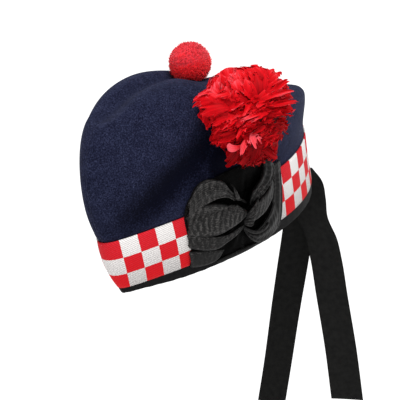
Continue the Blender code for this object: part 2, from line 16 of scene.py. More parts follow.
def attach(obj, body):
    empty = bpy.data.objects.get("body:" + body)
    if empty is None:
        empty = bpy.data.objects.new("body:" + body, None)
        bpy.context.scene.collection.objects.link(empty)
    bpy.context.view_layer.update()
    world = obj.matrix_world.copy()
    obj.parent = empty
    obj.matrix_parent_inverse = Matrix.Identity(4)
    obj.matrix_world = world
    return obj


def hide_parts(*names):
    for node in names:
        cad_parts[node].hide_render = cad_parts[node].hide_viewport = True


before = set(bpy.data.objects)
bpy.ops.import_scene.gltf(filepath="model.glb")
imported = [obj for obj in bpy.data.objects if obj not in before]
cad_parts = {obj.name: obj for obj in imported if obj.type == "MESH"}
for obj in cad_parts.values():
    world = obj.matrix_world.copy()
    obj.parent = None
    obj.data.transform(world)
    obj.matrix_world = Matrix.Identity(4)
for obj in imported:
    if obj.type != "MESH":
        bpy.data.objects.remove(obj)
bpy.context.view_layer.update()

# Sizes of the cap, as its solids have them, in metres and degrees

RIM_LENGTH = 0.262
RIM_WIDTH = 0.132
NOSE_ROUND = 0.030
FRONT_FULL = 1.83
BACK_FULL = 2.26
BACK_ROUND = 0.62
FELT = 0.0020
BAND_CLOTH = 0.0012
TAPE = 0.0010
GAP = 0.0003
BINDING_DEPTH = 0.0095
CHECK = 0.0160
BAND_HEIGHT = 3 * CHECK
WALL_HEIGHT = BINDING_DEPTH + BAND_HEIGHT
BINDING_LEAN = -9.0
FRONT_LEAN_LOW = -23.2
FRONT_LEAN_TOP = 6.2
BACK_LEAN_LOW = 1.6
BACK_LEAN_TOP = -7.5
NOSE_LIFT = 0.0045
NOSE_LIFT_REACH = 0.13
CROWN_HEIGHT = 0.1650
CREASE_WIDTH = 0.056
CREASE_FRONT = 0.0212
CREASE_BACK = 0.0068
VALLEY_DEPTH = 0.0090
SIDE_ROUND_FRONT = 1.8
SIDE_ROUND_BACK = 6.0
SIDE_LENGTH = 0.130
FRONT_BULGE = 0.0086
SIDE_BULGE = 0.0128
BACK_BULGE = 0.0078
# along the crease, width and height in shares
CREASE_ROWS = ((0.00, 0.53, 0.927), (0.06, 0.53, 0.950), (0.18, 0.53, 1.000), (0.37, 0.53, 0.989),
               (0.55, 0.65, 0.898), (0.80, 0.93, 0.687), (0.92, 1.00, 0.600), (1.00, 0.90, 0.545))
CREASE_END_FRONT = 0.06
CREASE_END_BACK = 0.10
LEFT_SAG = 0.0045
LEFT_SAG_ALONG = 0.32
LEFT_SAG_REACH = 0.20
TUCK_DEPTH = 0.0050
TUCK_HALF_WIDTH = 0.0110
# along the rim, up the side panel, depth in shares
TUCK_ROWS = ((0.00, 0.07, 0.10), (0.07, 0.12, 0.60), (0.14, 0.18, 0.90), (0.21, 0.23, 1.00),
             (0.29, 0.29, 0.90), (0.36, 0.34, 0.50), (0.46, 0.38, 0.00), (1.00, 0.38, 0.00))
TOURIE_DIAMETER = 0.0375
TOURIE_ALONG = 0.496
TOURIE_ASIDE = 0.0060
TOURIE_STAND = 0.0152
TOURIE_PRESS = 0.0075
TOURIE_PRESS_REACH = 0.022
TUFT = 0.0024
SMALL_TUFT = 0.0011
TUFT_RELIEF = 0.00026
YARN_ENDS = 3600
YARN_PROUD = (0.0006, 0.0012)
# along a yarn end: share of its length, half thickness and tone
YARN_ROWS = ((0.0, 0.00034, 0.46), (0.6, 0.00026, 0.58), (1.0, 0.00004, 0.66))
HACKLE_WIDTH = 0.092
HACKLE_HEIGHT = 0.091
HACKLE_DEPTH = 0.062
HACKLE_FROM_SEAM = 0.1405
HACKLE_UP = 0.1210
HACKLE_STAND = 0.020
HACKLE_MEAN = 0.041
HACKLE_CORE = 0.85
RIBBON_WIDTH = 0.031
RIBBON_TAPE = 0.0006
RIBBON_CUP = 0.0008
RIBBON_WAVE = 0.0006
RIBBON_DROP = {"left": 0.2243, "right": 0.2425}
RIBBON_SPLAY = {"left": 0.0545, "right": 0.0385}
RIBBON_STAND = 0.0165
RIBBON_LAP = 0.0014
RIBBON_TWIST = 26.0
# down, out, left and right splay, left and right turn in shares
RIBBON_ROWS = (
    (0.00, 0.00, 0.07, 0.05, 0.25, 0.25),
    (0.06, 0.76, 0.11, 0.07, 0.45, 0.45),
    (0.14, 1.00, 0.14, 0.10, 0.65, 0.65),
    (0.22, 1.00, 0.18, 0.17, 0.80, 0.80),
    (0.31, 1.00, 0.38, 0.26, 0.95, 0.85),
    (0.40, 1.00, 0.49, 0.36, 1.00, 0.80),
    (0.55, 0.98, 0.62, 0.52, 1.00, 0.55),
    (0.80, 0.94, 0.85, 0.77, 1.00, 0.30),
    (1.00, 0.90, 1.00, 1.00, 1.00, 0.27),
)
HEAD_PITCH = 19.4
TOURIE_SEED = 7
HACKLE_SEED = 41

FLOOR = -0.42
FLOOR_REACH = 200.0
SKY = 0.46
KEY = 2.85
KEY_FROM = (0.34, -0.28, 0.90)
KEY_SPREAD = 32.0
# The photo's view of the level cap: degrees round from the front, up and rolled. The aim, the
# distance and the shift in the picture are in metres, the sensor and the lens in millimetres.
VIEW_ROUND = 42.6
VIEW_UP = 22.2
VIEW_ROLL = 13.1
VIEW_AIM = (0.0, 0.0, 0.0094)
VIEW_FAR = 1.5
VIEW_SHIFT = (-0.0106, 0.0191)
SENSOR = 36.0
LENS = 148.5

PITCH = Matrix.Rotation(radians(HEAD_PITCH), 4, "X")
TILT = np.array(PITCH.to_3x3())


def unit(vectors):
    """Vectors brought to length one."""
    return vectors / np.maximum(np.linalg.norm(vectors, axis=-1, keepdims=True), 1e-12)


def bell(distance):
    """The bell curve: one in the middle, e to the minus distance squared."""
    return np.exp(-(distance**2))


def curve(rows, index, at):
    """A smooth curve through one column of a table: cubic pieces with the table's own slopes."""
    table = np.array(rows, dtype=float)
    x, y = table[:, 0], table[:, index]
    slope = np.gradient(y, x)
    at = np.asarray(at, dtype=float)
    i = np.clip(np.searchsorted(x, at, side="right") - 1, 0, len(x) - 2)
    step = x[i + 1] - x[i]
    s = (at - x[i]) / step
    start = (2 * s**3 - 3 * s**2 + 1) * y[i] + (s**3 - 2 * s**2 + s) * step * slope[i]
    end = (3 * s**2 - 2 * s**3) * y[i + 1] + (s**3 - s**2) * step * slope[i + 1]
    return start + end


def boat(t):
    """Half width of the rim, unscaled: a power curve off a rounded nose, times a round back."""
    nose = np.sqrt((t + NOSE_ROUND) ** 2 - NOSE_ROUND**2) / np.sqrt(1 + 2 * NOSE_ROUND)
    front = 1 - (1 - np.minimum(nose, 1)) ** FRONT_FULL
    return front * (1 - t**BACK_FULL) ** BACK_ROUND


BOAT_WIDEST = boat(np.linspace(0, 1, 501)).max()


def rim(t):
    """Rim outline on the wearer's left and its outward direction, t = 0 front, 1 back."""
    t = np.asarray(t, dtype=float)

    def place(u):
        return RIM_WIDTH / 2 * boat(u) / BOAT_WIDEST, RIM_LENGTH * (u - 0.5)

    x0, y0 = place(np.clip(t - 1e-4, 0, 1))
    x1, y1 = place(np.clip(t + 1e-4, 0, 1))
    run = np.hypot(x1 - x0, y1 - y0)
    ends = (t <= 0) | (t >= 1)
    out_x = np.where(ends, 0.0, (y1 - y0) / run)
    out_y = np.where(t <= 0, -1.0, np.where(t >= 1, 1.0, (x0 - x1) / run))
    x, y = place(t)
    return x, y, out_x, out_y


def wall(t, h, off=0.0):
    """The upright wall: its lean turns steadily from low to top, so each section is an arc."""
    x, y, out_x, out_y = rim(t)
    low = np.radians(FRONT_LEAN_LOW + (BACK_LEAN_LOW - FRONT_LEAN_LOW) * t)
    top = np.radians(FRONT_LEAN_TOP + (BACK_LEAN_TOP - FRONT_LEAN_TOP) * t)
    bend = (top - low) / BAND_HEIGHT
    bend = np.where(np.abs(bend) < 1e-3, 1e-3, bend)
    under = np.minimum(h, BINDING_DEPTH)
    over = np.maximum(h - BINDING_DEPTH, 0)
    lean = radians(BINDING_LEAN)
    out = (BINDING_DEPTH - under) * sin(lean) + (np.cos(low + bend * over) - np.cos(low)) / bend
    lift = NOSE_LIFT * bell(t / NOSE_LIFT_REACH)
    z = lift + under * (cos(lean) - lift / BINDING_DEPTH)
    z = z + (np.sin(low + bend * over) - np.sin(low)) / bend
    out = out + off
    return np.stack([x + out_x * out, y + out_y * out, z + 0 * x], axis=-1)


def crease(t, left=1.0):
    """The soft ridge between a side panel and the valley, rounded in at its two ends.

    The left one, where left is 1, sags by two bell curves: its own and the tourie's.
    """
    width = CREASE_WIDTH / 2 * curve(CREASE_ROWS, 1, t)
    front = np.clip(t / CREASE_END_FRONT, 0, 1)
    back = np.clip((1 - t) / CREASE_END_BACK, 0, 1)
    width = width * np.sqrt(1 - (1 - front) ** 2) * np.sqrt(1 - (1 - back) ** 2)
    y = (CREASE_FRONT - RIM_LENGTH / 2) * (1 - t) + (RIM_LENGTH / 2 - CREASE_BACK) * t
    drop = TOURIE_PRESS * bell((t - TOURIE_ALONG) * RIM_LENGTH / TOURIE_PRESS_REACH)
    drop = drop + LEFT_SAG * bell((t - LEFT_SAG_ALONG) / LEFT_SAG_REACH)
    return np.stack([width, y, CROWN_HEIGHT * curve(CREASE_ROWS, 2, t) - left * drop], axis=-1)


def from_tuck(t, v):
    """How far up a side panel a place lies from the middle of the tuck, in its half widths."""
    return (v - curve(TUCK_ROWS, 1, t)) * SIDE_LENGTH / TUCK_HALF_WIDTH


def side(t, v, left=1.0):
    """A side panel: a superellipse quarter from the wall to the crease, pushed out, with a tuck."""
    foot = wall(t, WALL_HEIGHT)
    ridge = crease(t, left)
    power = 2 / (SIDE_ROUND_FRONT + (SIDE_ROUND_BACK - SIDE_ROUND_FRONT) * t**2)
    inward = 1 - np.maximum(np.cos(v * pi / 2), 0) ** power
    upward = np.sin(v * pi / 2) ** power
    point = foot + (ridge - foot) * np.stack([inward, inward, upward], axis=-1)
    bulge = FRONT_BULGE * (1 - t) ** 2 + 2 * SIDE_BULGE * t * (1 - t) + BACK_BULGE * t**2
    push = bulge * np.sin(pi * v**0.7)
    depth = TUCK_DEPTH * curve(TUCK_ROWS, 2, t)
    push = push - depth * bell(from_tuck(t, v)) * np.clip(v / 0.08, 0, 1)
    point[..., :2] += unit((foot - ridge)[..., :2]) * push[..., None]
    return point


def sunk(t, q):
    """How far the valley lies below the crease: an ease from there, q = 0, to the middle, 1."""
    return VALLEY_DEPTH * np.sin(pi * t) ** 0.6 * q**2 * (3 - 2 * q)


def valley(t, q, left=1.0):
    """The sunken top, from the crease in to the centre line."""
    point = crease(t, left * (1 - q))
    point[..., 0] *= 1 - q
    point[..., 2] -= sunk(t, q)
    return point


SIDE_V = np.linspace(0, 1, 81)
SIDE_T = np.linspace(0, 1, 81)
SIDE_STEPS = np.linalg.norm(np.diff(side(*np.meshgrid(SIDE_T, SIDE_V)), axis=0), axis=-1)
SIDE_RUN = np.vstack([np.zeros(len(SIDE_T)), np.cumsum(SIDE_STEPS, axis=0)]).T


def climb(t, run):
    """The share v of a side panel that lies this far up its cloth, from a table of lengths."""
    place = np.clip(t * (len(SIDE_T) - 1), 0, len(SIDE_T) - 1.001)
    i = place.astype(int)
    share = (place - i)[..., None]
    lengths = SIDE_RUN[i] * (1 - share) + SIDE_RUN[i + 1] * share
    k = np.clip((lengths <= run[..., None]).sum(axis=-1) - 1, 0, len(SIDE_V) - 2)[..., None]
    low = np.take_along_axis(lengths, k, -1)[..., 0]
    high = np.take_along_axis(lengths, k + 1, -1)[..., 0]
    return np.clip((k[..., 0] + (run - low) / (high - low)) * SIDE_V[1], 0, 1)


def skin(t, h, off=0.0):
    """The outside of the cap: h up the cloth from the rim, off along the surface's normal."""
    t, h, off = np.broadcast_arrays(*(np.asarray(a, dtype=float) for a in (t, h, off)))
    step = 0.01
    rise = 0.004

    def bare(u, g):
        return np.where((g <= WALL_HEIGHT)[..., None], wall(u, np.minimum(g, WALL_HEIGHT)),
                        side(u, climb(t, np.maximum(g - WALL_HEIGHT, 0))))

    point = bare(t, h)
    across = bare(np.clip(t + step, 0, 1), h) - bare(np.clip(t - step, 0, 1), h)
    up = bare(t, h + rise) - bare(t, np.maximum(h - rise, 0))
    return point + unit(np.cross(across, up)) * off[..., None]


FINE = (1 - np.cos(pi * np.linspace(0, 1, 1601))) / 2
FINE_RUN = np.r_[0, np.cumsum(np.linalg.norm(np.diff(wall(FINE, WALL_HEIGHT), axis=0), axis=1))]
HALF_ROUND = FINE_RUN[-1]


def along(run):
    """The station t that lies this far along the band's top edge from the front seam."""
    return np.interp(run, FINE_RUN, FINE)


# Mesh helpers


def grid_mesh(name, grids, uv=None, attributes=None, weld=False):
    """A piece from grids of points, shaped (rows, columns, 3) or (pieces, rows, columns, 3).

    Each grid cell becomes one quad; the quads of all the grids go into one mesh.
    """
    grids = np.asarray(grids, dtype=float)
    if grids.ndim == 3:
        grids = grids[None]
    count, rows, columns = grids.shape[:3]
    index = np.arange(count * rows * columns, dtype=np.int32).reshape(count, rows, columns)
    quads = np.stack([index[:, :-1, :-1], index[:, 1:, :-1], index[:, 1:, 1:],
                      index[:, :-1, 1:]], axis=-1).reshape(-1, 4)
    mesh = bpy.data.meshes.new(name)
    mesh.vertices.add(index.size)
    mesh.vertices.foreach_set("co", grids.reshape(-1).astype(np.float32))
    mesh.loops.add(quads.size)
    mesh.loops.foreach_set("vertex_index", quads.reshape(-1))
    mesh.polygons.add(len(quads))
    mesh.polygons.foreach_set("loop_start", np.arange(len(quads), dtype=np.int32) * 4)
    mesh.polygons.foreach_set("loop_total", np.full(len(quads), 4, dtype=np.int32))
    if uv is not None:
        flat = np.broadcast_to(np.asarray(uv, dtype=float), grids.shape[:3] + (2,)).reshape(-1, 2)
        layer = mesh.uv_layers.new(name="cloth")
        layer.data.foreach_set("uv", flat[quads.reshape(-1)].reshape(-1).astype(np.float32))
    for key, values in (attributes or {}).items():
        flat = np.broadcast_to(np.asarray(values, dtype=float), grids.shape[:3]).reshape(-1)
        made = mesh.attributes.new(key, "FLOAT", "POINT")
        made.data.foreach_set("value", flat.astype(np.float32))
    mesh.update(calc_edges=True)
    mesh.validate()
    if weld:
        shape = bmesh.new()
        shape.from_mesh(mesh)
        bmesh.ops.remove_doubles(shape, verts=shape.verts, dist=1e-6)
        bmesh.ops.dissolve_degenerate(shape, edges=shape.edges, dist=1e-7)
        shape.to_mesh(mesh)
        shape.free()
    mesh.shade_smooth()
    return mesh


def to_world(points):
    """Points of the cap's level frame, pitched as the cap is worn."""
    return points @ TILT.T


INSIDE = to_world(np.array([0, 0, 0.05]))


def facing_out(mesh, centre=INSIDE):
    """Turns all faces over if they look towards the centre on the whole."""
    normals = np.empty(len(mesh.polygons) * 3, dtype=np.float32)
    places = np.empty(len(mesh.polygons) * 3, dtype=np.float32)
    mesh.polygons.foreach_get("normal", normals)
    mesh.polygons.foreach_get("center", places)
    away = places.reshape(-1, 3) - np.asarray(centre, dtype=np.float32)
    if (normals.reshape(-1, 3) * away).sum() < 0:
        mesh.flip_normals()


def piece(mesh, material, node=None):
    """An object that rides on the cap; it stands in for the CAD node, which it hides."""
    made = bpy.data.objects.new(mesh.name, mesh)
    bpy.context.scene.collection.objects.link(made)
    mesh.materials.clear()
    mesh.materials.append(material)
    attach(made, "root")
    if node:
        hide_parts(node)
    return made


def thicken(made, thickness, offset):
    """A cloth wall from an open surface: offset -1 grows inward, 0 both ways."""
    cloth = made.modifiers.new("cloth", "SOLIDIFY")
    cloth.thickness = thickness
    cloth.offset = offset


def joined(left, right):
    """One grid that runs up the wearer's left half and down the right one, given unmirrored."""
    return np.concatenate([left, right[-2::-1] * np.array([-1, 1, 1])])


# Materials

TIMES_PLUS = {"operation": "MULTIPLY_ADD"}
CLOTH = {"uv_map": "cloth"}


def linear(hex_colour):
    """An sRGB hex colour as linear RGBA."""
    srgb = [int(hex_colour[i:i + 2], 16) / 255 for i in (1, 3, 5)]
    return (*[c / 12.92 if c <= 0.04045 else ((c + 0.055) / 1.055) ** 2.4 for c in srgb], 1.0)


def add(tree, kind, settings=None, **links):
    """A shader node with its settings; each link names an input and gives a value or an output.

    A node given in a link stands for its Fac output, or for its first one if it has no Fac.
    """
    made = tree.nodes.new("ShaderNode" + kind)
    for key, value in (settings or {}).items():
        setattr(made, key, value)
    for key, value in links.items():
        socket = made.inputs[int(key[1:]) if key[1:].isdigit() else key.replace("_", " ")]
        if isinstance(value, bpy.types.Node):
            value = value.outputs.get("Fac") or value.outputs[0]
        if isinstance(value, bpy.types.NodeSocket):
            tree.links.new(value, socket)
        else:
            socket.default_value = value
    return made


def finish(name, **values):
    """A Principled material and its tree, with constant values on the shader's sockets."""
    made = bpy.data.materials.new(name)
    made.use_nodes = True
    shader = made.node_tree.nodes["Principled BSDF"]
    for key, value in values.items():
        shader.inputs[key.replace("_", " ")].default_value = value
    return made, made.node_tree


def surface(made, colour, height=None, strength=0.5, depth=0.0004):
    """The material with its colour and the relief of its height, this many metres deep."""
    tree = made.node_tree
    shader = tree.nodes["Principled BSDF"]
    tree.links.new(colour, shader.inputs["Base Color"])
    if height is not None:
        bump = add(tree, "Bump", Strength=strength, Distance=depth, Height=height)
        tree.links.new(bump.outputs["Normal"], shader.inputs["Normal"])
    return made


def ramp(tree, fac, stops):
    """A colour ramp on a value, from pairs of place and hex colour."""
    made = add(tree, "ValToRGB", Fac=fac)
    band = made.color_ramp
    while len(band.elements) < len(stops):
        band.elements.new(0.5)
    for element, (place, colour) in zip(band.elements, stops):
        element.position = place
        element.color = linear(colour)
    return made.outputs["Color"]


def brushed_wool_felt():
    """Milled wool cloth, raised and cropped: a dull nap of short fibres with a faint bloom."""
    made, tree = finish("brushed_wool_felt", Roughness=0.95, Sheen_Weight=0.12,
                        Sheen_Roughness=0.4, Sheen_Tint=linear("#8C92B4"),
                        Specular_IOR_Level=0.10)
    place = add(tree, "TexCoord").outputs["Object"]
    # Fibres are about 0.03 mm; they are drawn as 1.2 mm flecks so that they show in the render.
    fleck = add(tree, "TexNoise", Vector=place, Scale=820.0, Detail=3.0, Roughness=0.75)
    cloud = add(tree, "TexNoise", Vector=place, Scale=90.0, Detail=2.0, Roughness=0.5)
    both = add(tree, "Math", TIMES_PLUS, _0=cloud, _1=0.15, _2=fleck)
    # Painted shade darkens the cloth in the tuck, and a painted shadow of the hackle darkens it
    # round the hackle's foot. A painted highlight makes it a little paler along the ridges.
    tuck = add(tree, "Attribute", {"attribute_name": "tuck"})
    nap = add(tree, "Math", TIMES_PLUS, _0=tuck, _1=-0.32, _2=both)
    colour = ramp(tree, nap, ((0.36, "#000110"), (0.56, "#171A2F"), (0.66, "#252941"),
                              (0.80, "#3B4059")))
    return surface(made, colour, fleck, depth=0.0006)


def diced_wool():
    """Worsted wool woven in checks: a firm twill, dull, with slightly stepped check edges."""
    made, tree = finish("diced_wool", Roughness=0.85, Sheen_Weight=0.04, Sheen_Roughness=0.5,
                        Specular_IOR_Level=0.10)
    # UVs are in checks of 16 mm. Their edges wander by under 1 mm, in steps of 1.8 mm.
    place = add(tree, "UVMap", CLOTH)
    rag = add(tree, "TexNoise", Vector=place, Scale=9.0, Detail=2.0)
    step = add(tree, "VectorMath", TIMES_PLUS, _0=rag.outputs["Color"], _1=(0.05, 0.05, 0.0),
               _2=place)
    check = add(tree, "TexChecker", Vector=step.outputs["Vector"], Scale=1.0,
                Color1=(1, 1, 1, 1), Color2=(0, 0, 0, 1))
    # Twill lines are under 1 mm apart in the real wool and are drawn at 1.5 mm, 45 degrees up.
    twill = add(tree, "TexWave", {"wave_type": "BANDS", "bands_direction": "DIAGONAL"},
                Vector=place, Scale=4.6, Distortion=0.6, Detail=1.0, Detail_Scale=6.0)
    # Painted shade and sheen by row: towards the rim, where the band faces down, the white is
    # greyer and flecked and the red purer; towards the top the red is paler, a sheen of the light
    # above.
    fibre = add(tree, "TexNoise", Vector=place, Scale=14.0, Detail=3.0, Roughness=0.8)
    row = add(tree, "SeparateXYZ", Vector=place).outputs["Y"]
    up = add(tree, "Math", TIMES_PLUS, _0=row, _1=0.08, _2=fibre)
    red = ramp(tree, up, ((0.35, "#DE0A10"), (0.60, "#DC1722"), (0.85, "#E02C3A")))
    white = ramp(tree, up, ((0.42, "#AAA6A5"), (0.60, "#E6E1DF"), (0.72, "#FBF7F5")))
    mix = add(tree, "Mix", {"data_type": "RGBA"}, _0=check, _6=red, _7=white)
    shade = add(tree, "Mix", {"data_type": "RGBA", "blend_type": "MULTIPLY"}, _0=0.32,
                _6=mix.outputs[2], _7=twill.outputs["Color"])
    return surface(made, shade.outputs[2], twill, strength=0.45)


def grosgrain(name, low, high, ribs):
    """Ribbed rayon tape: close ribs straight across it that catch a dull line of light each."""
    made, tree = finish(name, Roughness=0.7, Sheen_Weight=0.01, Sheen_Roughness=0.4,
                        Specular_IOR_Level=0.08)
    place = add(tree, "UVMap", CLOTH)
    # UVs are in metres; ribs are 0.7 mm apart in the real tape and are drawn at 1.2 mm.
    rib = add(tree, "TexWave", {"wave_type": "BANDS", "bands_direction": ribs}, Vector=place,
              Scale=262.0, Distortion=0.3, Detail=1.0, Detail_Scale=2.0)
    cloud = add(tree, "TexNoise", Vector=place, Scale=180.0, Detail=3.0)
    both = add(tree, "Math", TIMES_PLUS, _0=rib, _1=0.4, _2=cloud)
    colour = ramp(tree, both, ((0.35, low), (0.95, high)))
    return surface(made, colour, rib)


def moire_silk(name, lustre):
    """Black corded silk, squeezed flat so that its cords show as watered lines with a soft lustre.
    """
    made, tree = finish(name, Roughness=0.42, Sheen_Weight=0.15 * lustre, Sheen_Roughness=0.3,
                        Sheen_Tint=linear("#B9B6B4"), Specular_IOR_Level=lustre)
    place = add(tree, "UVMap", CLOTH)
    # The shade attribute holds the panels' painted light and shade, multiplied into the colour.
    shade = add(tree, "Attribute", {"attribute_name": "shade"})
    # Cords are 0.5 mm apart in the real silk and are drawn at 1.4 mm; the water marks are 6 mm.
    cord = add(tree, "TexWave", {"wave_type": "BANDS", "bands_direction": "Y"}, Vector=place,
               Scale=224.0, Distortion=2.5, Detail=2.0, Detail_Scale=1.5)
    water = add(tree, "TexWave", {"wave_type": "BANDS", "bands_direction": "X"}, Vector=place,
                Scale=55.0, Distortion=9.0, Detail=2.0, Detail_Scale=1.2)
    slub = add(tree, "TexNoise", Vector=place, Scale=640.0, Detail=3.0, Roughness=0.8)
    pattern = add(tree, "Math", TIMES_PLUS, _0=water, _1=0.12, _2=slub)
    both = add(tree, "Math", TIMES_PLUS, _0=cord, _1=0.14, _2=pattern)
    lit = add(tree, "Math", {"operation": "MULTIPLY"}, _0=both, _1=shade)
    colour = ramp(tree, lit, ((0.30, "#030303"), (0.52, "#0C0B0B"), (0.63, "#1B1A1A"),
                              (0.84, "#4C4A49")))
    return surface(made, colour, both)


def wool_pile():
    """Cut wool yarn packed tight: bright open ends over deep shade, with a soft bloom."""
    made, tree = finish("wool_pile", Roughness=0.9, Sheen_Weight=0.60, Sheen_Roughness=0.5,
                        Sheen_Tint=linear("#FFA8B0"), Specular_IOR_Level=0.08)
    tone = add(tree, "Attribute", {"attribute_name": "tone"})
    place = add(tree, "TexCoord").outputs["Object"]
    # Cut ends are 0.3 mm across; they are drawn at 0.7 mm.
    ends = add(tree, "TexNoise", Vector=place, Scale=1500.0, Detail=2.0, Roughness=0.6)
    both = add(tree, "Math", TIMES_PLUS, _0=ends, _1=0.3, _2=tone)
    # The ramp's pinker middle, where the top's tone lies, is a painted sheen of the light from
    # above; its bright red end is the painted light on the underside.
    colour = ramp(tree, both, ((0.15, "#B8141E"), (0.60, "#DC3642"), (0.84, "#F21E28"),
                               (1.0, "#FF2229")))
    return surface(made, colour, ends, depth=0.0005)


def dyed_feather():
    """Feather dyed scarlet: soft barbs with a silky bloom; its tone paints light and shade on it.
    """
    made, tree = finish("dyed_feather", Roughness=0.55, Sheen_Weight=0.08, Sheen_Roughness=0.35,
                        Sheen_Tint=linear("#FF8088"), Specular_IOR_Level=0.06)
    tone = add(tree, "Attribute", {"attribute_name": "tone"})
    place = add(tree, "UVMap", CLOTH)
    # Barbs run along the feather, 0.4 mm apart in life and drawn at 0.9 mm.
    barb = add(tree, "TexWave", {"wave_type": "BANDS", "bands_direction": "X"}, Vector=place,
               Scale=350.0, Distortion=3.0, Detail=2.0)
    both = add(tree, "Math", TIMES_PLUS, _0=barb, _1=0.12, _2=tone)
    colour = ramp(tree, both, ((0.0, "#3A0002"), (0.40, "#A0020B"), (0.75, "#DA0614"),
                               (1.0, "#F25A66")))
    return surface(made, colour, barb, strength=0.25)


def matt_paper():
    """Uncoated backdrop paper: flat and almost white, with no shine and a trace of grain."""
    made, tree = finish("matt_paper", Roughness=1.0, Specular_IOR_Level=0.0)
    place = add(tree, "TexCoord").outputs["Object"]
    # Fibres are far too fine to show; the grain is drawn at 25 mm.
    grain = add(tree, "TexNoise", Vector=place, Scale=40.0)
    return surface(made, ramp(tree, grain, ((0.0, "#FBFBFB"), (1.0, "#FDFDFD"))))


# Pieces

# The ridges, in rows of the grid: how far each is softened, and the softening bell's width and
# reach. A painted highlight makes them paler.
RIDGE_ROWS = 7
SOFT_ROWS = 4.5
SOFT_REACH = 9
RIDGE_HIGHLIGHT = 0.13
# The painted shadow of the hackle on the felt: along the band and up the cloth, reach in metres
# and tone
HACKLE_SHADOW_AT = (0.117, 0.093)
HACKLE_SHADOW_REACH = 0.0135
HACKLE_SHADOW_TONE = 1.35
SEAM_REACH = 0.008   # of the band from the front seam, with its columns a little closer


def crown(material):
    """The felt body: wall, side panel and valley as one surface, with its two ridges rounded.

    Rows within a centimetre or so of a ridge are averaged with their neighbours by a bell curve.
    """
    t = along(np.r_[np.linspace(0, SEAM_REACH, 6)[:-1], np.linspace(SEAM_REACH, HALF_ROUND, 165)])
    h = np.linspace(0, WALL_HEIGHT, 8)
    v = np.linspace(0, 1, 84)[1:]
    q = np.linspace(0, 1, 24)[1:]
    halves = []
    for left in (1.0, 0.0):
        half = np.concatenate([wall(t[None], h[:, None]), side(*np.meshgrid(t, v), left),
                               valley(*np.meshgrid(t, q), left)])
        half[:, (0, -1), 0] = 0
        halves.append(half)
    grid = joined(*halves)
    row = np.arange(len(grid))
    ridge = len(h) + len(v) - 1
    near = bell(np.minimum(abs(row - ridge), abs(len(grid) - 1 - ridge - row)) / RIDGE_ROWS)
    reach = np.arange(-SOFT_REACH, SOFT_REACH + 1)
    weight = bell(reach / SOFT_ROWS)
    around = np.clip(row[:, None] + reach, 0, len(grid) - 1)
    soft = np.einsum("rk...,k->r...", grid[around], weight / weight.sum())
    grid = grid + (soft - grid) * near[:, None, None]
    # The tuck attribute is painted light and shade: shade in the tuck, the hackle's shadow round
    # its foot, and a highlight along the ridges.
    tuck = np.zeros(grid.shape[:2])
    tuck[len(h):len(h) + len(v)] = curve(TUCK_ROWS, 2, t) * bell(from_tuck(t, v[:, None]) * 0.9)
    spot = skin(along(HACKLE_SHADOW_AT[0]), HACKLE_SHADOW_AT[1])
    painted_hackle_shadow = HACKLE_SHADOW_TONE * np.exp(-(np.linalg.norm(grid - spot, axis=-1) / HACKLE_SHADOW_REACH) ** 4)
    tuck = np.maximum(np.maximum(tuck, tuck[::-1]), painted_hackle_shadow) - RIDGE_HIGHLIGHT * near[:, None]
    mesh = grid_mesh("crown_felt", to_world(grid), None, {"tuck": tuck}, weld=True)
    facing_out(mesh)
    made = piece(mesh, material, "crown")
    thicken(made, FELT, -1)


# Columns of checks along the band from the front seam, in metres: 16 mm each where they show
LAST_CHECK = 0.2470
CHECK_RUNS = (0.0, 0.0145, 0.0785, 0.1830, LAST_CHECK, HALF_ROUND)
CHECK_COLUMNS = (0.094, 1.0, 5.0, 12.0, 16.0, 16.0 + (HALF_ROUND - LAST_CHECK) / CHECK)
SEAM_CHECK = 0.35   # of a check hidden in the front seam, so the seam's own check looks wider
BAND_MARGIN = 0.012   # of a check, kept clear above and below
CHECK_PUFF = 0.0003


def dice_band(material):
    """The woven band: one strip round the wall, each check puffed a little by its weave."""
    run = np.linspace(-HALF_ROUND, HALF_ROUND, 520)
    left = np.interp(np.abs(run), CHECK_RUNS, CHECK_COLUMNS)
    column = np.where(run >= 0, left, 2 * CHECK_COLUMNS[0] - left + SEAM_CHECK)
    rows = np.linspace(BAND_MARGIN, 3 - BAND_MARGIN, 19)
    column, row = np.meshgrid(column, rows)
    puff = np.sqrt(np.abs(np.sin(pi * column) * np.sin(pi * row)))
    off = GAP + BAND_CLOTH + CHECK_PUFF * puff
    grid = wall(along(np.abs(run))[None], BINDING_DEPTH + CHECK * row, off)
    grid[..., 0] *= np.sign(run)
    # Whole checks are added to keep the columns positive, and no fourth row shows at an edge.
    uv = np.stack([column + 40, np.clip(row, 0.02, 2.93)], axis=-1)
    mesh = grid_mesh("diced_band", to_world(grid), uv)
    facing_out(mesh)
    made = piece(mesh, material, "dice_band")
    thicken(made, BAND_CLOTH, -1)


# The binding's pucker: two waves, 10 mm and 17 mm long, in radians to the metre, and its relief
PUCKER_WAVES = (620, 370)
PUCKER_OUT = 0.00018
PUCKER_DOWN = 0.0002


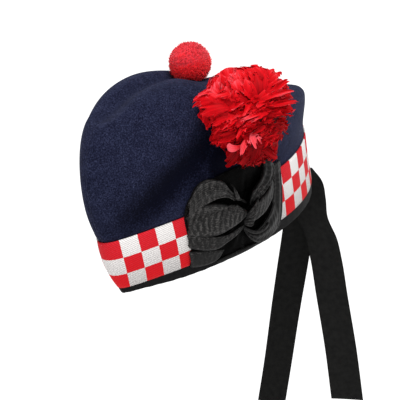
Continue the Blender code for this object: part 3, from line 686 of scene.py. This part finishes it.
def rim_binding(material):
    """Tape folded over the rim's edge: a U section carried round, puckered by two sines."""
    run = np.linspace(-HALF_ROUND, HALF_ROUND, 460)
    outer = GAP + TAPE
    inner = FELT / cos(radians(BINDING_LEAN)) + GAP + TAPE
    top = BINDING_DEPTH - GAP
    turn = np.linspace(0, pi, 7)
    middle = (outer - inner) / 2
    reach = (outer + inner) / 2
    off = np.r_[outer, outer, outer, middle + reach * np.cos(turn), -inner, -inner]
    height = np.r_[top, top * 0.6, top * 0.3, -(GAP + TAPE) * np.sin(turn), top * 0.5, top]
    off, _ = np.meshgrid(off, run)
    height, runs = np.meshgrid(height, run)
    pucker = (np.sin(runs * PUCKER_WAVES[0]) + np.sin(runs * PUCKER_WAVES[1] + 2)) / 2
    off = off + PUCKER_OUT * pucker * np.clip(height / top, 0, 1) * np.sign(off)
    t = along(np.abs(runs))
    grid = wall(t, np.maximum(height, 0), off)
    grid[..., 2] += np.minimum(height, 0) - PUCKER_DOWN * pucker * (height <= 0)
    grid[..., 0] *= np.sign(runs)
    length = np.cumsum(np.r_[0, np.hypot(np.diff(off[0]), np.diff(height[0]))])
    uv = np.stack([runs, length[None] + 0 * runs], axis=-1)
    mesh = grid_mesh("binding_tape", to_world(grid), uv)
    facing_out(mesh)
    piece(mesh, material, "rim_binding")


def ball(across, around, inset=0.0):
    """Directions on a ball: a row once round it, and columns from pole to pole, less an inset."""
    polar, turn = np.meshgrid(np.linspace(inset, pi - inset, across),
                              np.linspace(0, 2 * pi, around))
    return np.stack([np.sin(polar) * np.cos(turn), np.sin(polar) * np.sin(turn),
                     np.cos(polar)], axis=-1)


def valley_height(x, y):
    """Height of the top near the tourie: the valley, and a parabola down the side beyond it."""
    front = CREASE_FRONT - RIM_LENGTH / 2
    back = RIM_LENGTH / 2 - CREASE_BACK
    t = np.clip((y - front) / (back - front), 0, 1)
    width = crease(t)[..., 0]
    q = np.clip(1 - np.abs(x) / width, 0, 1)
    beyond = np.maximum(np.abs(x) - width, 0)
    return crease(t, (x > 0) * (1 - q))[..., 2] - sunk(t, q) - beyond**2 / 0.030


def laid(grid):
    """Points of the tourie in the world, with what would lie under the valley laid on it."""
    grid[..., 2] = np.maximum(grid[..., 2], valley_height(grid[..., 0], grid[..., 1]) + GAP)
    return to_world(grid)


def waves(way, size, count, rng):
    """A lumpy field on a ball: the mean of cosines in random directions, lumps of this size."""
    aim = rng.normal(size=(3, count))
    aim /= np.linalg.norm(aim, axis=0)
    return np.cos(way @ aim * pi / size + rng.uniform(0, 2 * pi, count)).mean(axis=-1) * count**0.5


def tourie(material):
    """A pompom clipped round: dense pile in small tufts, with single yarn ends standing proud.

    The ball's radius carries two lumpy fields, of 2.4 mm and 1.1 mm, and a broad one.
    """
    rng = np.random.default_rng(TOURIE_SEED)
    seat, ahead = valley(TOURIE_ALONG + np.array([0, 0.02]), np.ones(2))
    slope = np.arctan2(ahead[2] - seat[2], ahead[1] - seat[1])
    centre = seat + np.array([0, -sin(slope), cos(slope)]) * TOURIE_STAND
    centre[0] = TOURIE_ASIDE
    radius = TOURIE_DIAMETER / 2
    way = ball(190, 380)
    lump = np.tanh(waves(way, TUFT / radius, 30, rng))
    lump = lump + 0.5 * waves(way, SMALL_TUFT / radius, 40, rng)
    form = waves(way, 0.9, 8, rng)
    reach = radius * (0.965 + 0.010 * form) + TUFT_RELIEF * lump
    # Painted light and shade: the underside is painted lighter than the light leaves it, and the
    # tone follows the lumps, so the hollows between the tufts are painted darker.
    under = 0.8 * np.clip(0.35 - way[..., 2], 0, 0.8)
    tone = np.clip(0.46 + 0.12 * lump + 0.05 * form + under, 0, 1)
    mesh = grid_mesh("tourie_pile", laid(way * reach[..., None] + centre), None, {"tone": tone},
                     weld=True)
    facing_out(mesh, to_world(centre))
    piece(mesh, material, "tourie")
    tourie_yarn(centre, rng, material)


def tourie_yarn(centre, rng, material):
    """Yarn ends that stand out of the pile: three-sided spikes spread by the golden angle."""
    number = np.arange(YARN_ENDS)
    height = 1 - 2 * (number + 0.5) / YARN_ENDS
    spin = pi * (3 - 5**0.5) * number
    flat = np.sqrt(1 - height**2)
    way = np.stack([flat * np.cos(spin), flat * np.sin(spin), height], axis=1)
    way = unit(way + rng.normal(0, 0.02, way.shape))
    lean = rng.normal(0, 0.0007, way.shape)
    side_a = unit(np.cross(way, np.array([0.3, 0.2, 0.93])))
    side_b = np.cross(way, side_a)
    angle = np.linspace(0, 2 * pi, 4)
    ring = side_a[:, None] * np.cos(angle)[:, None] + side_b[:, None] * np.sin(angle)[:, None]
    share, thick, tone = np.array(YARN_ROWS).T
    proud = rng.uniform(*YARN_PROUD, YARN_ENDS)[:, None]
    stand = TOURIE_DIAMETER / 2 * 0.955 + proud * share
    spine = way[:, None] * stand[..., None] + lean[:, None] * (share**2)[:, None]
    grid = spine[:, :, None] + ring[:, None] * thick[:, None, None] + centre
    tone = tone[None, :, None] + rng.normal(0, 0.05, (YARN_ENDS, 1, 1))
    # Painted light: the yarn ends on the underside are painted lighter, as the pile is.
    tone = tone + 0.6 * np.clip(0.35 - height, 0, 0.8)[:, None, None]
    mesh = grid_mesh("tourie_yarn", laid(grid), None, {"tone": np.clip(tone, 0, 1)})
    piece(mesh, material)


def hackle_axes():
    """The hackle's centre and its three directions: towards the back, out from the cap, up."""
    foot, centre = skin(along(HACKLE_FROM_SEAM), HACKLE_UP, np.array([0, HACKLE_STAND]))
    out = unit(centre - foot)
    back = unit(np.cross([0, 0, 1], out))
    return centre, np.stack([back, out, np.cross(out, back)])


# The blossom's outline as its face is seen: degrees from the face's right towards its top, and
# its reach in millimetres
HACKLE_OUTLINE = ((-180, 39.0), (-170, 32.5), (-160, 31.0), (-150, 34.0), (-138, 33.0),
                  (-128, 31.5), (-118, 39.5), (-105, 40.5), (-90, 42.0), (-75, 39.5), (-60, 41.0),
                  (-45, 36.0), (-30, 32.5), (-10, 34.0), (5, 37.0), (17, 38.0), (30, 39.0),
                  (45, 41.5), (60, 46.0), (75, 45.0), (90, 43.5), (110, 45.0), (130, 44.5),
                  (142, 41.0), (155, 43.5), (170, 43.0), (180, 40.0))
FACE_RIGHT = (0.783, 0.489, -0.385)
FACE_TOP = (0.386, 0.102, 0.917)
PETAL_FRONT = (-0.487, 0.867, 0.109)
PETAL_POLE = (-0.11, 0.00, 0.99)
# Tiers of petals. The angle from the pole, the droop and the length are in degrees, and the
# stand, the flare at the tip and the tilt of the lower edge are shares of the blossom's reach.
# The first four tiers close the top; three of them climb it like a fan.
TIER_COLUMNS = ("polar", "count", "ragged", "stand", "flare", "tilt", "droop", "long")
PETAL_TIERS = (
    (3, 6, 0.20, 0.930, 0.00, 0.010, 10, 36),
    (36, 15, 0.45, 0.950, 0.01, 0.005, -84, 40),
    (48, 19, 0.45, 0.955, 0.02, 0.010, -78, 34),
    (60, 22, 0.50, 0.960, 0.02, 0.020, -68, 30),
    (60, 16, 0.50, 0.950, 0.04, 0.045, 8, 36),
    (72, 19, 0.55, 0.930, 0.06, 0.060, 12, 38),
    (84, 19, 0.60, 0.910, 0.08, 0.070, 14, 38),
    (97, 18, 0.60, 0.885, 0.08, 0.080, 14, 36),
    (111, 16, 0.60, 0.840, 0.07, 0.085, 18, 34),
    (124, 15, 0.60, 0.870, 0.07, 0.080, 26, 34),
    (137, 13, 0.60, 0.890, 0.06, 0.070, 34, 34),
    (150, 9, 0.60, 0.890, 0.05, 0.060, 40, 30),
    (164, 6, 0.60, 0.880, 0.03, 0.050, 30, 26),
)
# Single petals that lie on top, each with its turn round the pole, half width in metres, way it
# flows, point and tone; the high tones of the first three are a painted highlight, pale pink
LOOSE_COLUMNS = ("polar", "turn", "flow", "droop", "long", "width", "ragged", "point", "stand",
                 "flare", "tilt", "tone")
LOOSE_PETALS = (
    (111, -27, -1, -38, 17, 0.0027, 0.00, 0.15, 1.15, 0.00, 0.00, 0.55),
    (105, -8, -1, 82, 18, 0.0062, 0.95, 0.45, 1.08, 0.10, 0.00, 0.68),
    (106, -20, -1, 44, 17, 0.0026, 0.20, 0.80, 1.10, 0.04, 0.00, 0.58),
    (91, 50, -1, -9, 66, 0.0060, 0.45, 0.20, 1.03, 0.00, 0.05, 0.12),
    (84, -7, -1, -14, 44, 0.0052, 0.60, 0.30, 0.98, 0.05, 0.05, 0.02),
    (72, 37, 1, 12, 64, 0.0036, 0.30, 0.80, 1.07, 0.06, 0.03, 0.10),
    (82, 29, 1, 18, 68, 0.0036, 0.30, 0.80, 1.07, 0.07, 0.03, 0.06),
    (71, 48, 1, 1, 54, 0.0034, 0.30, 0.80, 1.05, 0.07, 0.03, 0.06),
    (34, -12, -1, -15, 34, 0.0060, 0.50, 0.30, 1.00, 0.02, 0.02, 0.08),
    (46, -21, -1, -16, 41, 0.0062, 0.50, 0.40, 1.01, 0.03, 0.02, 0.02),
    (59, -20, -1, -7, 34, 0.0060, 0.55, 0.40, 1.02, 0.03, 0.02, 0.06),
    (72, -17, -1, -6, 34, 0.0058, 0.55, 0.40, 1.01, 0.04, 0.03, 0.00),
    (45, 8, -1, -15, 30, 0.0056, 0.55, 0.30, 1.00, 0.02, 0.03, 0.06),
    (95, -22, -1, -9, 30, 0.0050, 0.60, 0.50, 1.02, 0.06, 0.04, -0.02),
    (115, -38, -1, 20, 30, 0.0048, 0.60, 0.60, 1.00, 0.05, 0.04, 0.00),
    (137, -5, 1, 71, 28, 0.0044, 0.60, 0.60, 1.02, 0.05, 0.04, 0.02),
    (122, -2, 1, 30, 30, 0.0046, 0.60, 0.60, 1.02, 0.05, 0.04, 0.06),
)


def blossom(way):
    """How far the blossom reaches that way: an ellipsoid whose outline follows the table."""
    half = np.array([HACKLE_WIDTH, HACKLE_DEPTH, HACKLE_HEIGHT]) / 2
    angle = np.arctan2(way @ FACE_TOP, way @ FACE_RIGHT)[..., None]
    level = np.cos(angle) * FACE_RIGHT + np.sin(angle) * FACE_TOP
    rim_reach = curve(HACKLE_OUTLINE, 1, np.degrees(angle[..., 0])) / 1000
    share = rim_reach * np.linalg.norm(level / half, axis=-1)
    faces = (way @ PETAL_FRONT) ** 2
    return (1 + (share - 1) * (1 - faces)) / np.linalg.norm(way / half, axis=-1)


def petal_numbers(rng):
    """Each petal's place, size and form: those of its tier, jittered, then the loose petals'.

    A tier's petals part at the front and flow round by turns to each side, over 210 degrees.
    """
    counts = [row[1] for row in PETAL_TIERS]
    tier = dict(zip(TIER_COLUMNS, np.repeat(PETAL_TIERS, counts, axis=0).T))
    loose = dict(zip(LOOSE_COLUMNS, np.array(LOOSE_PETALS).T))
    number = np.concatenate([np.arange(count) for count in counts])
    count = len(number)
    every = count + len(LOOSE_PETALS)
    tiered = np.arange(every) < count
    flow = 1 - 2 * (number % 2)
    turn = flow * (210 * ((number // 2 + 0.5) / (tier["count"] / 2)) - 50)
    climbing = tier["droop"] < 0
    return SimpleNamespace(
        count=count,
        every=every,
        tone=loose["tone"],
        flow=np.r_[flow, loose["flow"]],
        polar=np.radians(np.r_[tier["polar"], loose["polar"]] + tiered * rng.normal(0, 3.5, every)),
        turn=np.radians(np.r_[turn, loose["turn"]] + tiered * rng.normal(0, 9, every)),
        droop=np.radians(np.r_[tier["droop"] + rng.normal(0, 9, count), loose["droop"]]),
        long=np.radians(np.r_[tier["long"] * rng.uniform(0.85, 1.15, count), loose["long"]]),
        width=np.r_[rng.uniform(0.0065, 0.0095, count) * (1 + 0.25 * climbing), loose["width"]],
        ragged=np.r_[tier["ragged"], loose["ragged"]],
        point=np.r_[np.full(count, 0.16), loose["point"]],
        stand=np.r_[tier["stand"] + rng.normal(0, 0.010, count), loose["stand"]],
        flare=np.r_[tier["flare"] * rng.uniform(0.2, 1.5, count), loose["flare"]],
        tilt=np.r_[tier["tilt"] * rng.uniform(0.75, 1.2, count), loose["tilt"]])


def petal_ways(petal):
    """Unit vectors for each petal: where it starts, the way it runs and its lower side."""
    pole = unit(np.array(PETAL_POLE))
    first = unit(np.array(PETAL_FRONT) - pole * np.dot(PETAL_FRONT, pole))
    second = np.cross(first, pole)
    polar, turn, droop = petal.polar[:, None], petal.turn[:, None], petal.droop[:, None]
    ring_way = np.cos(turn) * first + np.sin(turn) * second
    side_way = (np.cos(turn) * second - np.sin(turn) * first) * petal.flow[:, None]
    start = np.cos(polar) * pole + np.sin(polar) * ring_way
    down = np.cos(polar) * ring_way - np.sin(polar) * pole
    ahead = np.cos(droop) * side_way + np.sin(droop) * down
    return start, ahead, np.cos(droop) * down - np.sin(droop) * side_way


def hackle(material):
    """A blossom of long feathers in tiers round a pole, parted at the front like hair.

    Each feather runs along a great circle to the left or the right, at its tier's droop, and
    climbs by a power law so that its tip stands clear. Its lower long edge stands proud of the
    tier below. The tip and that edge are cut into tapered teeth, and cosines fold it lengthwise.
    """
    rng = np.random.default_rng(HACKLE_SEED)
    centre, axes = hackle_axes()
    petal = petal_numbers(rng)

    def per(values):
        return values[:, None, None]

    def some(low, high):
        return per(rng.uniform(low, high, petal.every))

    def teeth(position):
        return np.abs(position % 1.0 * 2 - 1) ** 0.8

    s = np.linspace(0, 1, 21)[None, :, None]
    w = np.linspace(-1, 1, 23)[None, None, :]
    ragged, tilt, long = per(petal.ragged), per(petal.tilt), per(petal.long)
    tip = teeth((w + 0.08 * np.sin(9 * w)) * some(1.3, 2.4) + some(0, 1))
    cut = ragged * tip * (0.6 + 0.4 * np.sin(7 * w + some(0, 6))) + per(petal.point) * w**2
    reach = s * (1 - cut * s**2)
    edge = teeth((s + 0.12 * w**2) * some(3.0, 5.5) + some(0, 1))
    narrow = 1 - ragged * 0.45 * edge * (w > 0) * w**2 * s**0.5
    swell = 0.35 + 0.65 * np.sin(pi * np.minimum(s * 0.62 + 0.05, 0.5))
    spread = w * narrow * per(petal.width) * swell
    arc = (long * reach)[..., None]
    start, ahead, below = petal_ways(petal)
    place = np.cos(arc) * per(start) + np.sin(arc) * per(ahead)
    place = unit(place + (spread / HACKLE_MEAN)[..., None] * per(below))
    fold = np.cos(w * some(2.0, 5.0) + some(0, 6) + 1.5 * s) * some(0.0003, 0.0010)
    rise = per(petal.stand) + (0.03 + 0.75 * tilt) * (s - 0.55) - 0.14 * (1 - s) ** 4
    rise = rise + per(petal.flare) * s**2.5 + tilt * w
    local = place * (blossom(place) * rise + fold * s**0.5)[..., None]
    grid = centre + local @ axes
    # Streaks run along each feather. Painted shade makes it darker at its root, low on the blossom
    # and in a fold; a painted highlight makes it paler towards its tip, on its lower edge and a
    # fold's crest.
    streak = 0.05 * np.cos(w * some(9, 16) + some(0, 6) + s * some(-3, 3))
    streak = streak + 0.05 * np.cos(w * some(22, 32) + some(0, 6) + s * some(-4, 4))
    low = np.clip(0.2 - local[..., 2] / 0.045, 0, 1.2)
    tone = 0.40 + 0.28 * s**1.2 + 0.06 * w + 70 * fold + streak - 0.38 * low
    tone = tone + per(np.r_[rng.normal(0, 0.05, petal.count), petal.tone])
    tone = np.clip(tone + 0.07 * waves(place, 0.45, 9, rng), 0, 1)
    uv = np.stack(np.broadcast_arrays(spread, s * long * HACKLE_MEAN), axis=-1)
    for values in (grid, tone, uv):
        values[petal.flow < 0] = values[petal.flow < 0, ::-1]
    mesh = grid_mesh("hackle_petals", to_world(grid), uv, {"tone": tone})
    facing_out(mesh, to_world(centre))
    piece(mesh, material, "hackle")
    hackle_shade_ball(centre, axes, material)


def hackle_shade_ball(centre, axes, material):
    """A dark ball inside the petals, of the blossom's own form, seen in the gaps: painted shade
    there.
    """
    way = ball(30, 60, 0.02)
    core = centre + (way * blossom(way)[..., None] * HACKLE_CORE) @ axes
    mesh = grid_mesh("hackle_shade_ball", to_world(core), np.zeros(2), {"tone": 0.02})
    facing_out(mesh, to_world(centre))
    piece(mesh, material)


# Panels of gathered silk in millimetres. Each row is a section on the way from the knot to the
# panel's outer end: its low edge and its top edge, both along the band from the front seam and up
# the cloth from the rim, and its height off the skin. Pleats are the number and depth of shallow
# folds along the panel, and water is the height of the ripples across it.
PANELS = {
    "loop_front": {"pleats": (1, 0.2), "water": 0.40, "node": "rosette_loop_front", "rows": (
        (129, 40, 129.5, 42, 11), (120, 37.5, 125, 47, 12.5), (109, 35.5, 117, 55.5, 13),
        (97, 34.5, 107, 63, 12.5), (86, 36, 96, 67, 10), (78, 37.5, 85, 67, 6.5),
        (72.6, 40, 75.5, 60, 4.2))},
    "fold_top": {"pleats": (2, 0.5), "water": 0.10, "node": "rosette_fold_top", "rows": (
        (129.6, 49, 130, 51, 9), (121.5, 57, 123, 60, 10.5), (110.5, 66.5, 114.5, 72, 11.5),
        (101, 69.5, 108, 83, 11.5), (93, 68, 98, 87.5, 10), (84, 64, 87, 84, 7),
        (76, 57, 78.5, 72.5, 3.8))},
    "peak": {"pleats": (0, 0), "water": 0, "rows": (
        (127, 52, 128, 54, 9), (121, 58.5, 124, 59, 12), (117.5, 64, 121.5, 64, 13),
        (116.5, 69, 119.5, 69, 12.5), (117.5, 74, 118, 74, 10))},
    "fold_low": {"pleats": (1, 0.3), "water": 0.12, "node": "rosette_fold_low", "rows": (
        (123, 29, 123.5, 32, 9), (115.3, 25.7, 117, 31.8, 10), (105, 23.3, 108, 30.6, 10.5),
        (95, 21.5, 97, 33.3, 11), (85, 23, 87, 37, 9), (78, 25.5, 79, 39.5, 6.5),
        (71.3, 28.5, 72.4, 42, 4))},
    "fold_corner": {"pleats": (1, 0.3), "water": 0.10, "rows": (
        (103, 12.5, 103.5, 14.5, 4.5), (97, 7.8, 99, 17.2, 6.5), (89, 6, 91, 20.6, 6.5),
        (80, 6.2, 83, 22.7, 5.5), (70.6, 7.5, 71.2, 26, 3.6))},
    "fold_back": {"pleats": (2, 0.6), "water": 0.14, "node": "rosette_fold_back", "rows": (
        (123, 27, 124, 29, 8.5), (126.6, 19, 128.6, 23.5, 9.5), (132.5, 11, 137, 21, 10.5),
        (140.2, 6.2, 147, 24, 9.5), (152.2, 5.2, 157, 30, 8), (168, 7, 167, 37, 4))},
    "ring": {"pleats": (0, 0), "water": 0, "rows": (
        (123, 28, 124, 30.5, 9), (127, 23.5, 128, 26.3, 11), (132, 20.5, 132.5, 23.2, 12.5),
        (138, 18.7, 138, 21.4, 12.5), (144, 18.8, 144, 21.6, 12), (150, 19.5, 150, 22.3, 10))},
    "loop_back": {"pleats": (1, 0.5), "water": 0.12, "node": "rosette_loop_back", "rows": (
        (124, 36.5, 129.3, 42, 11), (127, 33, 136.3, 45.5, 13), (134.5, 32.6, 142.8, 48.5, 13.5),
        (146, 34.6, 152.8, 51, 12), (158.5, 40.5, 160, 56, 9), (167, 49, 165.5, 64, 5))},
    "edge_back": {"pleats": (2, 0.4), "water": 0.10, "rows": (
        (157, 3.5, 154, 8, 3.8), (165.5, 5, 159, 12, 4.6), (170, 9.5, 161, 19, 5.0),
        (172.7, 17, 161, 27, 5.2), (175, 26, 162, 35, 5.2), (177.2, 36, 164.5, 43, 5.0),
        (179.4, 48, 167.5, 51, 4.6), (181.2, 59, 169.5, 60, 4.2), (180.6, 68, 169, 68, 3.6))},
    "strip_back": {"pleats": (2, 0.7), "water": 0.16, "rows": (
        (137, 43.5, 133, 47, 9), (143, 46.5, 136, 54, 10.5), (150, 50, 139.5, 60.5, 11),
        (157, 53.5, 145, 65, 10.5), (164, 58, 150, 69, 9.5), (168, 64, 154, 74, 7.5),
        (169, 72, 156, 80, 5))},
    "hem": {"pleats": (0, 0), "water": 0, "rows": (
        (96, 2.6, 96, 6, 4.6), (110, 2.2, 110, 6.6, 5.6), (123, 2.2, 123, 6.8, 5.8),
        (133, 2.2, 133, 6.2, 5.4), (143, 2.2, 143, 5, 4.4))},
    "knot_over": {"pleats": (2, 0.6), "water": 0, "node": "rosette_knot", "rows": (
        (125.5, 37, 126, 42, 12), (129, 38, 129, 45.5, 16), (132, 39.5, 132, 48, 17),
        (135.5, 41.5, 136, 49.5, 16), (139, 44, 140, 50, 13))},
    "knot_under": {"pleats": (2, 0.5), "water": 0, "rows": (
        (123.5, 32, 123.5, 36.5, 10.5), (126, 30, 126.5, 37, 13), (128.5, 29.2, 129.5, 37, 14),
        (131, 29.6, 133, 36, 12.5), (134, 31, 136, 34.5, 8))},
}
PANEL_EDGE = 0.0021
PANEL_FOOT = 0.0024
PANEL_ROLL = 125
SILK = 0.0007
# The ripples of the watered silk: their step, their bow across the panel and how they shade it
WATER_STEP = 0.0046
WATER_BOW = 0.0035
WATER_SHADE = 300


def through(points, at):
    """Places along a smooth curve through evenly spaced points, by cubic pieces."""
    rows = np.column_stack([np.linspace(0, 1, len(points)), np.array(points, dtype=float)])
    return np.stack([curve(rows, k + 1, at) for k in range(rows.shape[1] - 1)], axis=-1)


def panel(name, values, material):
    """A panel of silk between two edges: a slightly crowned top whose edges roll under.

    Across it, the top is a shallow parabola with cosine pleats, and each edge is an arc of 125
    degrees. Along it, the height follows the table, and the outer end drops by a quarter circle.
    """
    s = (1 - np.cos(pi * np.linspace(0, 1, 100))) / 2
    low, top, rise = np.split(through(values["rows"], s) / 1000, (2, 4), axis=1)
    wide = np.linalg.norm(top - low, axis=1)[:, None] / 2
    end = np.sqrt(1 - ((s - 0.965) / 0.035).clip(0, 1) ** 2)[:, None]
    roll = np.minimum(PANEL_EDGE, wide * 0.48)
    bend = np.radians(np.linspace(0, PANEL_ROLL, 7))[None]
    flat = np.linspace(-1, 1, 37)[None, 1:-1] * (wide - roll)
    edge = wide - roll + roll * np.sin(bend)
    across = np.concatenate([-edge[:, ::-1], flat, edge], axis=1) / wide
    across = across * (0.55 + 0.45 * end)
    sink = roll * (1 - np.cos(bend))
    inner = flat / wide
    count, deep = values["pleats"]
    swell = 0.12 * wide * (1 - (inner / 0.9) ** 2).clip(0)
    pleats = deep / 1000 * (1 - np.cos(pi * count * (inner + 1))) * np.sin(pi * s)[:, None] ** 0.5
    length = np.cumsum(np.r_[0, np.linalg.norm(np.diff((low + top) / 2, axis=0), axis=1)])[:, None]
    ripple = 2 * pi * (length + WATER_BOW * inner**2) / WATER_STEP + 0.8 * np.sin(5 * inner)
    ripple = values["water"] / 1000 * np.cos(ripple) * (1 - inner**4)
    over = np.concatenate([-sink[:, ::-1], swell - pleats + ripple, -sink], axis=1)
    place = (low + top)[:, None] / 2 + (top - low)[:, None] / 2 * across[..., None]
    off = PANEL_FOOT + (rise - PANEL_FOOT) * (0.25 + 0.75 * end) + over
    grid = skin(along(place[..., 0]), place[..., 1], np.maximum(off, PANEL_FOOT))
    uv = np.stack(np.broadcast_arrays(length, across * wide), axis=-1)
    # Painted light and shade: lighter beside each rolled edge; darker on it, by the knot, towards
    # the rim and at the back
    shade = 1 + 0.16 * bell((np.abs(across) - 0.80) / 0.12)
    shade = shade - 0.35 * np.abs(across) ** 8 - 0.25 * bell(s[:, None] / 0.12)
    shade = shade * (0.74 + 0.26 * np.clip(place[..., 1] / 0.042, 0, 1))
    shade = shade * (1 - 0.15 * np.clip((place[..., 0] - 0.146) / 0.014, 0, 1))
    shade[:, bend.size:-bend.size] += WATER_SHADE * ripple
    mesh = grid_mesh("rosette_" + name + "_silk", to_world(grid), uv, {"shade": shade})
    facing_out(mesh)
    made = piece(mesh, material, values.get("node"))
    thicken(made, SILK, -1)


# The ground's middle, half sizes and knot, in metres along the band and up the cloth. Its edge is
# a superellipse of this power. It stands off the skin, with its pleats' relief and a drop at the
# edge.
GROUND_MIDDLE = (0.1229, 0.0430)
GROUND_HALF = (0.0503, 0.0415)
KNOT_AT = (0.129, 0.039)
GROUND_POWER = 3.3
GROUND_STAND = 0.0040
GROUND_PLEAT = 0.0009
GROUND_DROP = 0.0022


def rosette_ground(material):
    """The gathered ground: a rounded patch whose pleats run in to the knot.

    The pleats are sines of the direction from the knot, fading towards it and at the rim.
    """
    angle = np.linspace(0, 2 * pi, 361)[:, None]
    reach = np.linspace(0, 1, 90)[None, :] ** 0.8
    edge = np.abs(np.cos(angle)) ** GROUND_POWER + np.abs(np.sin(angle)) ** GROUND_POWER
    edge = edge ** (-1 / GROUND_POWER)
    run = GROUND_MIDDLE[0] + GROUND_HALF[0] * reach * edge * np.cos(angle)
    height = GROUND_MIDDLE[1] + GROUND_HALF[1] * reach * edge * np.sin(angle)
    towards = np.arctan2(height - KNOT_AT[1], run - KNOT_AT[0])
    far = np.hypot(height - KNOT_AT[1], run - KNOT_AT[0])
    pleat = np.sin(towards * 9 + 1.2 * np.sin(towards * 2)) + 0.5 * np.sin(towards * 17 + 1)
    off = GROUND_STAND + GROUND_PLEAT * pleat * np.clip(far / 0.02, 0, 1) * (1 - reach**6)
    off = off - GROUND_DROP * reach**10
    grid = skin(along(run), height, off)
    uv = np.stack([far, towards * 0.03 + 0 * far], axis=-1)
    # Painted shade: the ground is dark, a little lighter at its edge and towards the back.
    shade = 0.45 + 0.35 * reach**8 + 0.24 * reach * np.clip(np.cos(angle), 0, 1)
    mesh = grid_mesh("rosette_ground_silk", to_world(grid), uv, {"shade": shade}, weld=True)
    facing_out(mesh)
    piece(mesh, material, "rosette_ground")


def ribbon(hand, material):
    """A flat tail from the back seam that folds over and hangs plumb.

    Its middle line and its turn follow the table. A shallow parabola cups it, and a sine waves it.
    """
    seam = PITCH @ Vector(wall(np.array([1.0]), BINDING_DEPTH / 2)[0])
    down = np.linspace(0, 1, 240)
    way, lap, column, phase = (1, 0.0, 2, 2) if hand == "left" else (-1, RIBBON_LAP, 3, 5)
    start = seam.y + BAND_CLOTH + TAPE + 3 * GAP + lap
    centre = np.stack([way * RIBBON_SPLAY[hand] * curve(RIBBON_ROWS, column, down),
                       start + RIBBON_STAND * curve(RIBBON_ROWS, 1, down),
                       seam.z - RIBBON_DROP[hand] * down], axis=1)
    turn = np.radians(RIBBON_TWIST * curve(RIBBON_ROWS, column + 2, down))
    across = np.stack([np.cos(turn), np.sin(turn), 0 * turn], axis=1)
    face = np.stack([-np.sin(turn), np.cos(turn), 0 * turn], axis=1)
    share = np.linspace(-0.5, 0.5, 25)
    cup = RIBBON_CUP * (1 - (2 * share) ** 2) * way
    bend = (cup[:, None] + RIBBON_WAVE * np.sin(down * 9 + phase)) * np.clip(down * 3, 0, 1)
    grid = (centre[None] + across[None] * (share * RIBBON_WIDTH)[:, None, None]
            + face[None] * bend[..., None])
    middle = grid[len(share) // 2]
    length = np.r_[0, np.cumsum(np.linalg.norm(np.diff(middle, axis=0), axis=1))]
    uv = np.stack(np.broadcast_arrays(share[:, None] * RIBBON_WIDTH, length[None]), axis=-1)
    mesh = grid_mesh("ribbon_" + hand + "_tape", grid, uv)
    made = piece(mesh, material, "ribbon_" + hand)
    thicken(made, RIBBON_TAPE, 0)


def studio():
    """A wide pale floor, an even sky, and one broad soft light from above the front left."""
    mesh = bpy.data.meshes.new("floor")
    corners = ((-1, -1), (1, -1), (1, 1), (-1, 1))
    mesh.from_pydata([(x * FLOOR_REACH, y * FLOOR_REACH, FLOOR) for x, y in corners], [],
                     [(0, 1, 2, 3)])
    floor = bpy.data.objects.new("floor", mesh)
    bpy.context.scene.collection.objects.link(floor)
    mesh.materials.append(matt_paper())
    bpy.context.scene.view_settings.view_transform = "Standard"
    world = bpy.data.worlds.new("studio")
    world.use_nodes = True
    sky = world.node_tree.nodes["Background"]
    sky.inputs["Color"].default_value = (1, 1, 1, 1)
    sky.inputs["Strength"].default_value = SKY
    bpy.context.scene.world = world
    light = bpy.data.lights.new("key", "SUN")
    light.angle = radians(KEY_SPREAD)
    light.energy = KEY
    lamp = bpy.data.objects.new("key", light)
    lamp.rotation_euler = Vector(KEY_FROM).to_track_quat("Z", "Y").to_euler()
    bpy.context.scene.collection.objects.link(lamp)


def camera():
    """The photo's view: angles about the level rim, turned with the cap's pitch."""
    turn = (PITCH @ Matrix.Rotation(radians(VIEW_ROUND), 4, "Z")
            @ Matrix.Rotation(radians(90 - VIEW_UP), 4, "X")
            @ Matrix.Rotation(radians(-VIEW_ROLL), 4, "Z"))
    aim = Matrix.Translation(PITCH @ Vector(VIEW_AIM))
    lens = bpy.data.cameras.new("camera")
    lens.sensor_width = SENSOR
    lens.lens = LENS
    made = bpy.data.objects.new("camera", lens)
    made.matrix_world = aim @ turn @ Matrix.Translation((*VIEW_SHIFT, VIEW_FAR))
    bpy.context.scene.collection.objects.link(made)
    bpy.context.scene.camera = made


felt = brushed_wool_felt()
silk = moire_silk("moire_silk", 0.15)
feather = dyed_feather()
pile = wool_pile()
tape = grosgrain("grosgrain_tape", "#080808", "#191918", "Y")
edge_tape = grosgrain("grosgrain_binding", "#060607", "#141415", "X")

crown(felt)
dice_band(diced_wool())
rim_binding(edge_tape)
tourie(pile)
hackle(feather)
# The same silk without its lustre, for the ground deep in the gathers: a shaded copy that paints
# the shade lying there
rosette_ground(moire_silk("moire_silk_in_shade", 0.02))
for panel_name, panel_values in PANELS.items():
    panel(panel_name, panel_values, silk)
ribbon("left", tape)
ribbon("right", tape)
studio()
camera()
